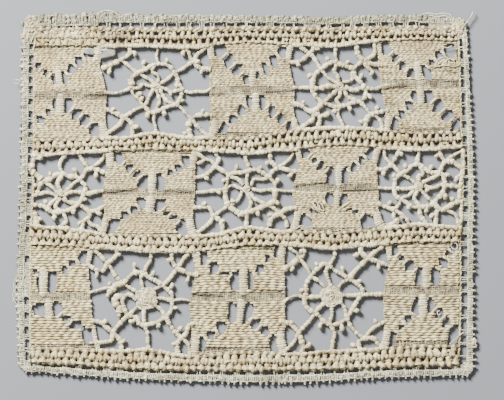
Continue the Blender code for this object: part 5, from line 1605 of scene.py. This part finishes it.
def makeFilm():
    columns, rows = 9, 6
    vertices, faces = [], []
    for x, y, width, height, lean in filmPatches:
        slope = math.tan(math.radians(lean))
        for face in (0.05, -0.05):   # its upper and its lower face
            for row in range(rows):
                for column in range(columns):
                    right = column / (columns - 1) - 0.5
                    up = row / (rows - 1) - 0.5
                    reach = 1 - 0.25 * abs(up) * (1 + math.sin(9 * right))
                    px = x + width * right * reach
                    py = y + height * up * (1 - 0.3 * right ** 2) + right * width * slope
                    z = build["middleHeight"] + 0.3 + 0.22 * math.sin(7 * right + 4 * up) + face
                    vertices.append((px * mm, py * mm, z * mm))
        top, low = len(vertices) - 2 * columns * rows, len(vertices) - columns * rows
        rim = [(0, column) for column in range(columns)]
        rim += [(row, columns - 1) for row in range(1, rows)]
        rim += [(rows - 1, column) for column in range(columns - 2, -1, -1)]
        rim += [(row, 0) for row in range(rows - 2, 0, -1)]
        for row in range(rows - 1):
            for column in range(columns - 1):
                a = top + row * columns + column
                b = low + row * columns + column
                faces.append((a, a + 1, a + columns + 1, a + columns))
                faces.append((b, b + columns, b + columns + 1, b + 1))
        for (r0, c0), (r1, c1) in zip(rim, rim[1:] + rim[:1]):
            one, other = r0 * columns + c0, r1 * columns + c1
            faces.append((top + other, top + one, low + one, low + other))
    mesh = bpy.data.meshes.new("greyFilm")
    mesh.from_pydata(vertices, [], faces)
    mesh.materials.append(materials["greyFilm"])
    mesh.shade_smooth()
    return finishMesh("greyFilm", mesh)


def looseThreads():
    threads = [loopThread(*loop) for loop in mendingLoops]
    for half, *places in looseRoutes:
        points = []
        for x, y in zip(places[::2], places[1::2]):
            points.append((x, y, build["middleHeight"] + 0.45 + rnd.uniform(-0.1, 0.25)))
        threads.append(thread(points, half))
    return threads


def patchKnots():
    threads = []
    for x, y, width, height, count in knotPatches:
        for _ in range(count):
            place = (x + width * rnd.uniform(-0.5, 0.5), y + height * rnd.uniform(-0.5, 0.5))
            threads.append(knot(*place, *patchKnot))
    return threads


knots = runThreads("knotPatches", patchKnots(), "bandThread", {
    **knotSizes, "Sides": 7, "Step": 0.0003, "Rib Depth": 0.0, "Fuzz": 0.6})
loose = runThreads("looseThreads", looseThreads(), "barThread", {
    **knotSizes, "Sides": 6, "Step": 0.0003, "Rib Depth": 0.0, "Fuzz": 0.4, "Wander": 0.0002})
film = makeFilm()
print("loose threads and film made")


# What goes with the lace: riding and the CAD solids that each piece stands for

threadWork = petalPieces + [linenStrips] + wheelPieces + bandPieces + [hemPiece, ladder, knots, loose, film]
for piece in [ground] + threadWork:
    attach(piece, "root")
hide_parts("lace_panel")
for side, piece in edging.items():
    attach(piece, "root")
    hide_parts("edging_" + side)


# Floor, light and camera

photo = {"width": 504, "pixelsPerMm": 3.0, "middle": (1.67, -0.67), "distance": 1.4}


def makeFloor():
    mesh = bpy.data.meshes.new("floor")
    reach = 3.0
    mesh.from_pydata([(-reach, -reach, 0), (reach, -reach, 0), (reach, reach, 0), (-reach, reach, 0)],
                     [], [(0, 1, 2, 3)])
    material, _, shader = newMaterial("paleFloor", 0.9)
    shader.inputs["Base Color"].default_value = (0.22, 0.225, 0.24, 1)
    mesh.materials.append(material)
    addObject("floor", mesh)


def addLight(name, place, size, power):
    data = bpy.data.lights.new(name, "AREA")
    data.size = size
    data.energy = power
    light = addObject(name, data)
    light.location = place
    light.rotation_euler = (-Vector(place)).to_track_quat("-Z", "Y").to_euler()   # towards the lace


def addCamera():
    data = bpy.data.cameras.new("camera")
    data.sensor_width = 36.0
    frameWidth = photo["width"] / photo["pixelsPerMm"] * mm
    data.lens = data.sensor_width * photo["distance"] / frameWidth
    data.clip_end = 20.0
    camera = addObject("camera", data)
    camera.location = (photo["middle"][0] * mm, photo["middle"][1] * mm, photo["distance"])
    bpy.context.scene.camera = camera


makeFloor()
addLight("key", (-0.5, 0.65, 0.55), 0.3, 50.0)
addLight("fill", (0.6, -0.4, 0.9), 0.8, 2.0)
world = bpy.data.worlds.new("studio")
world.use_nodes = True
sky = world.node_tree.nodes["Background"].inputs
sky["Color"].default_value = (0.95, 0.97, 1.0, 1)
sky["Strength"].default_value = 0.22
bpy.context.scene.world = world
addCamera()
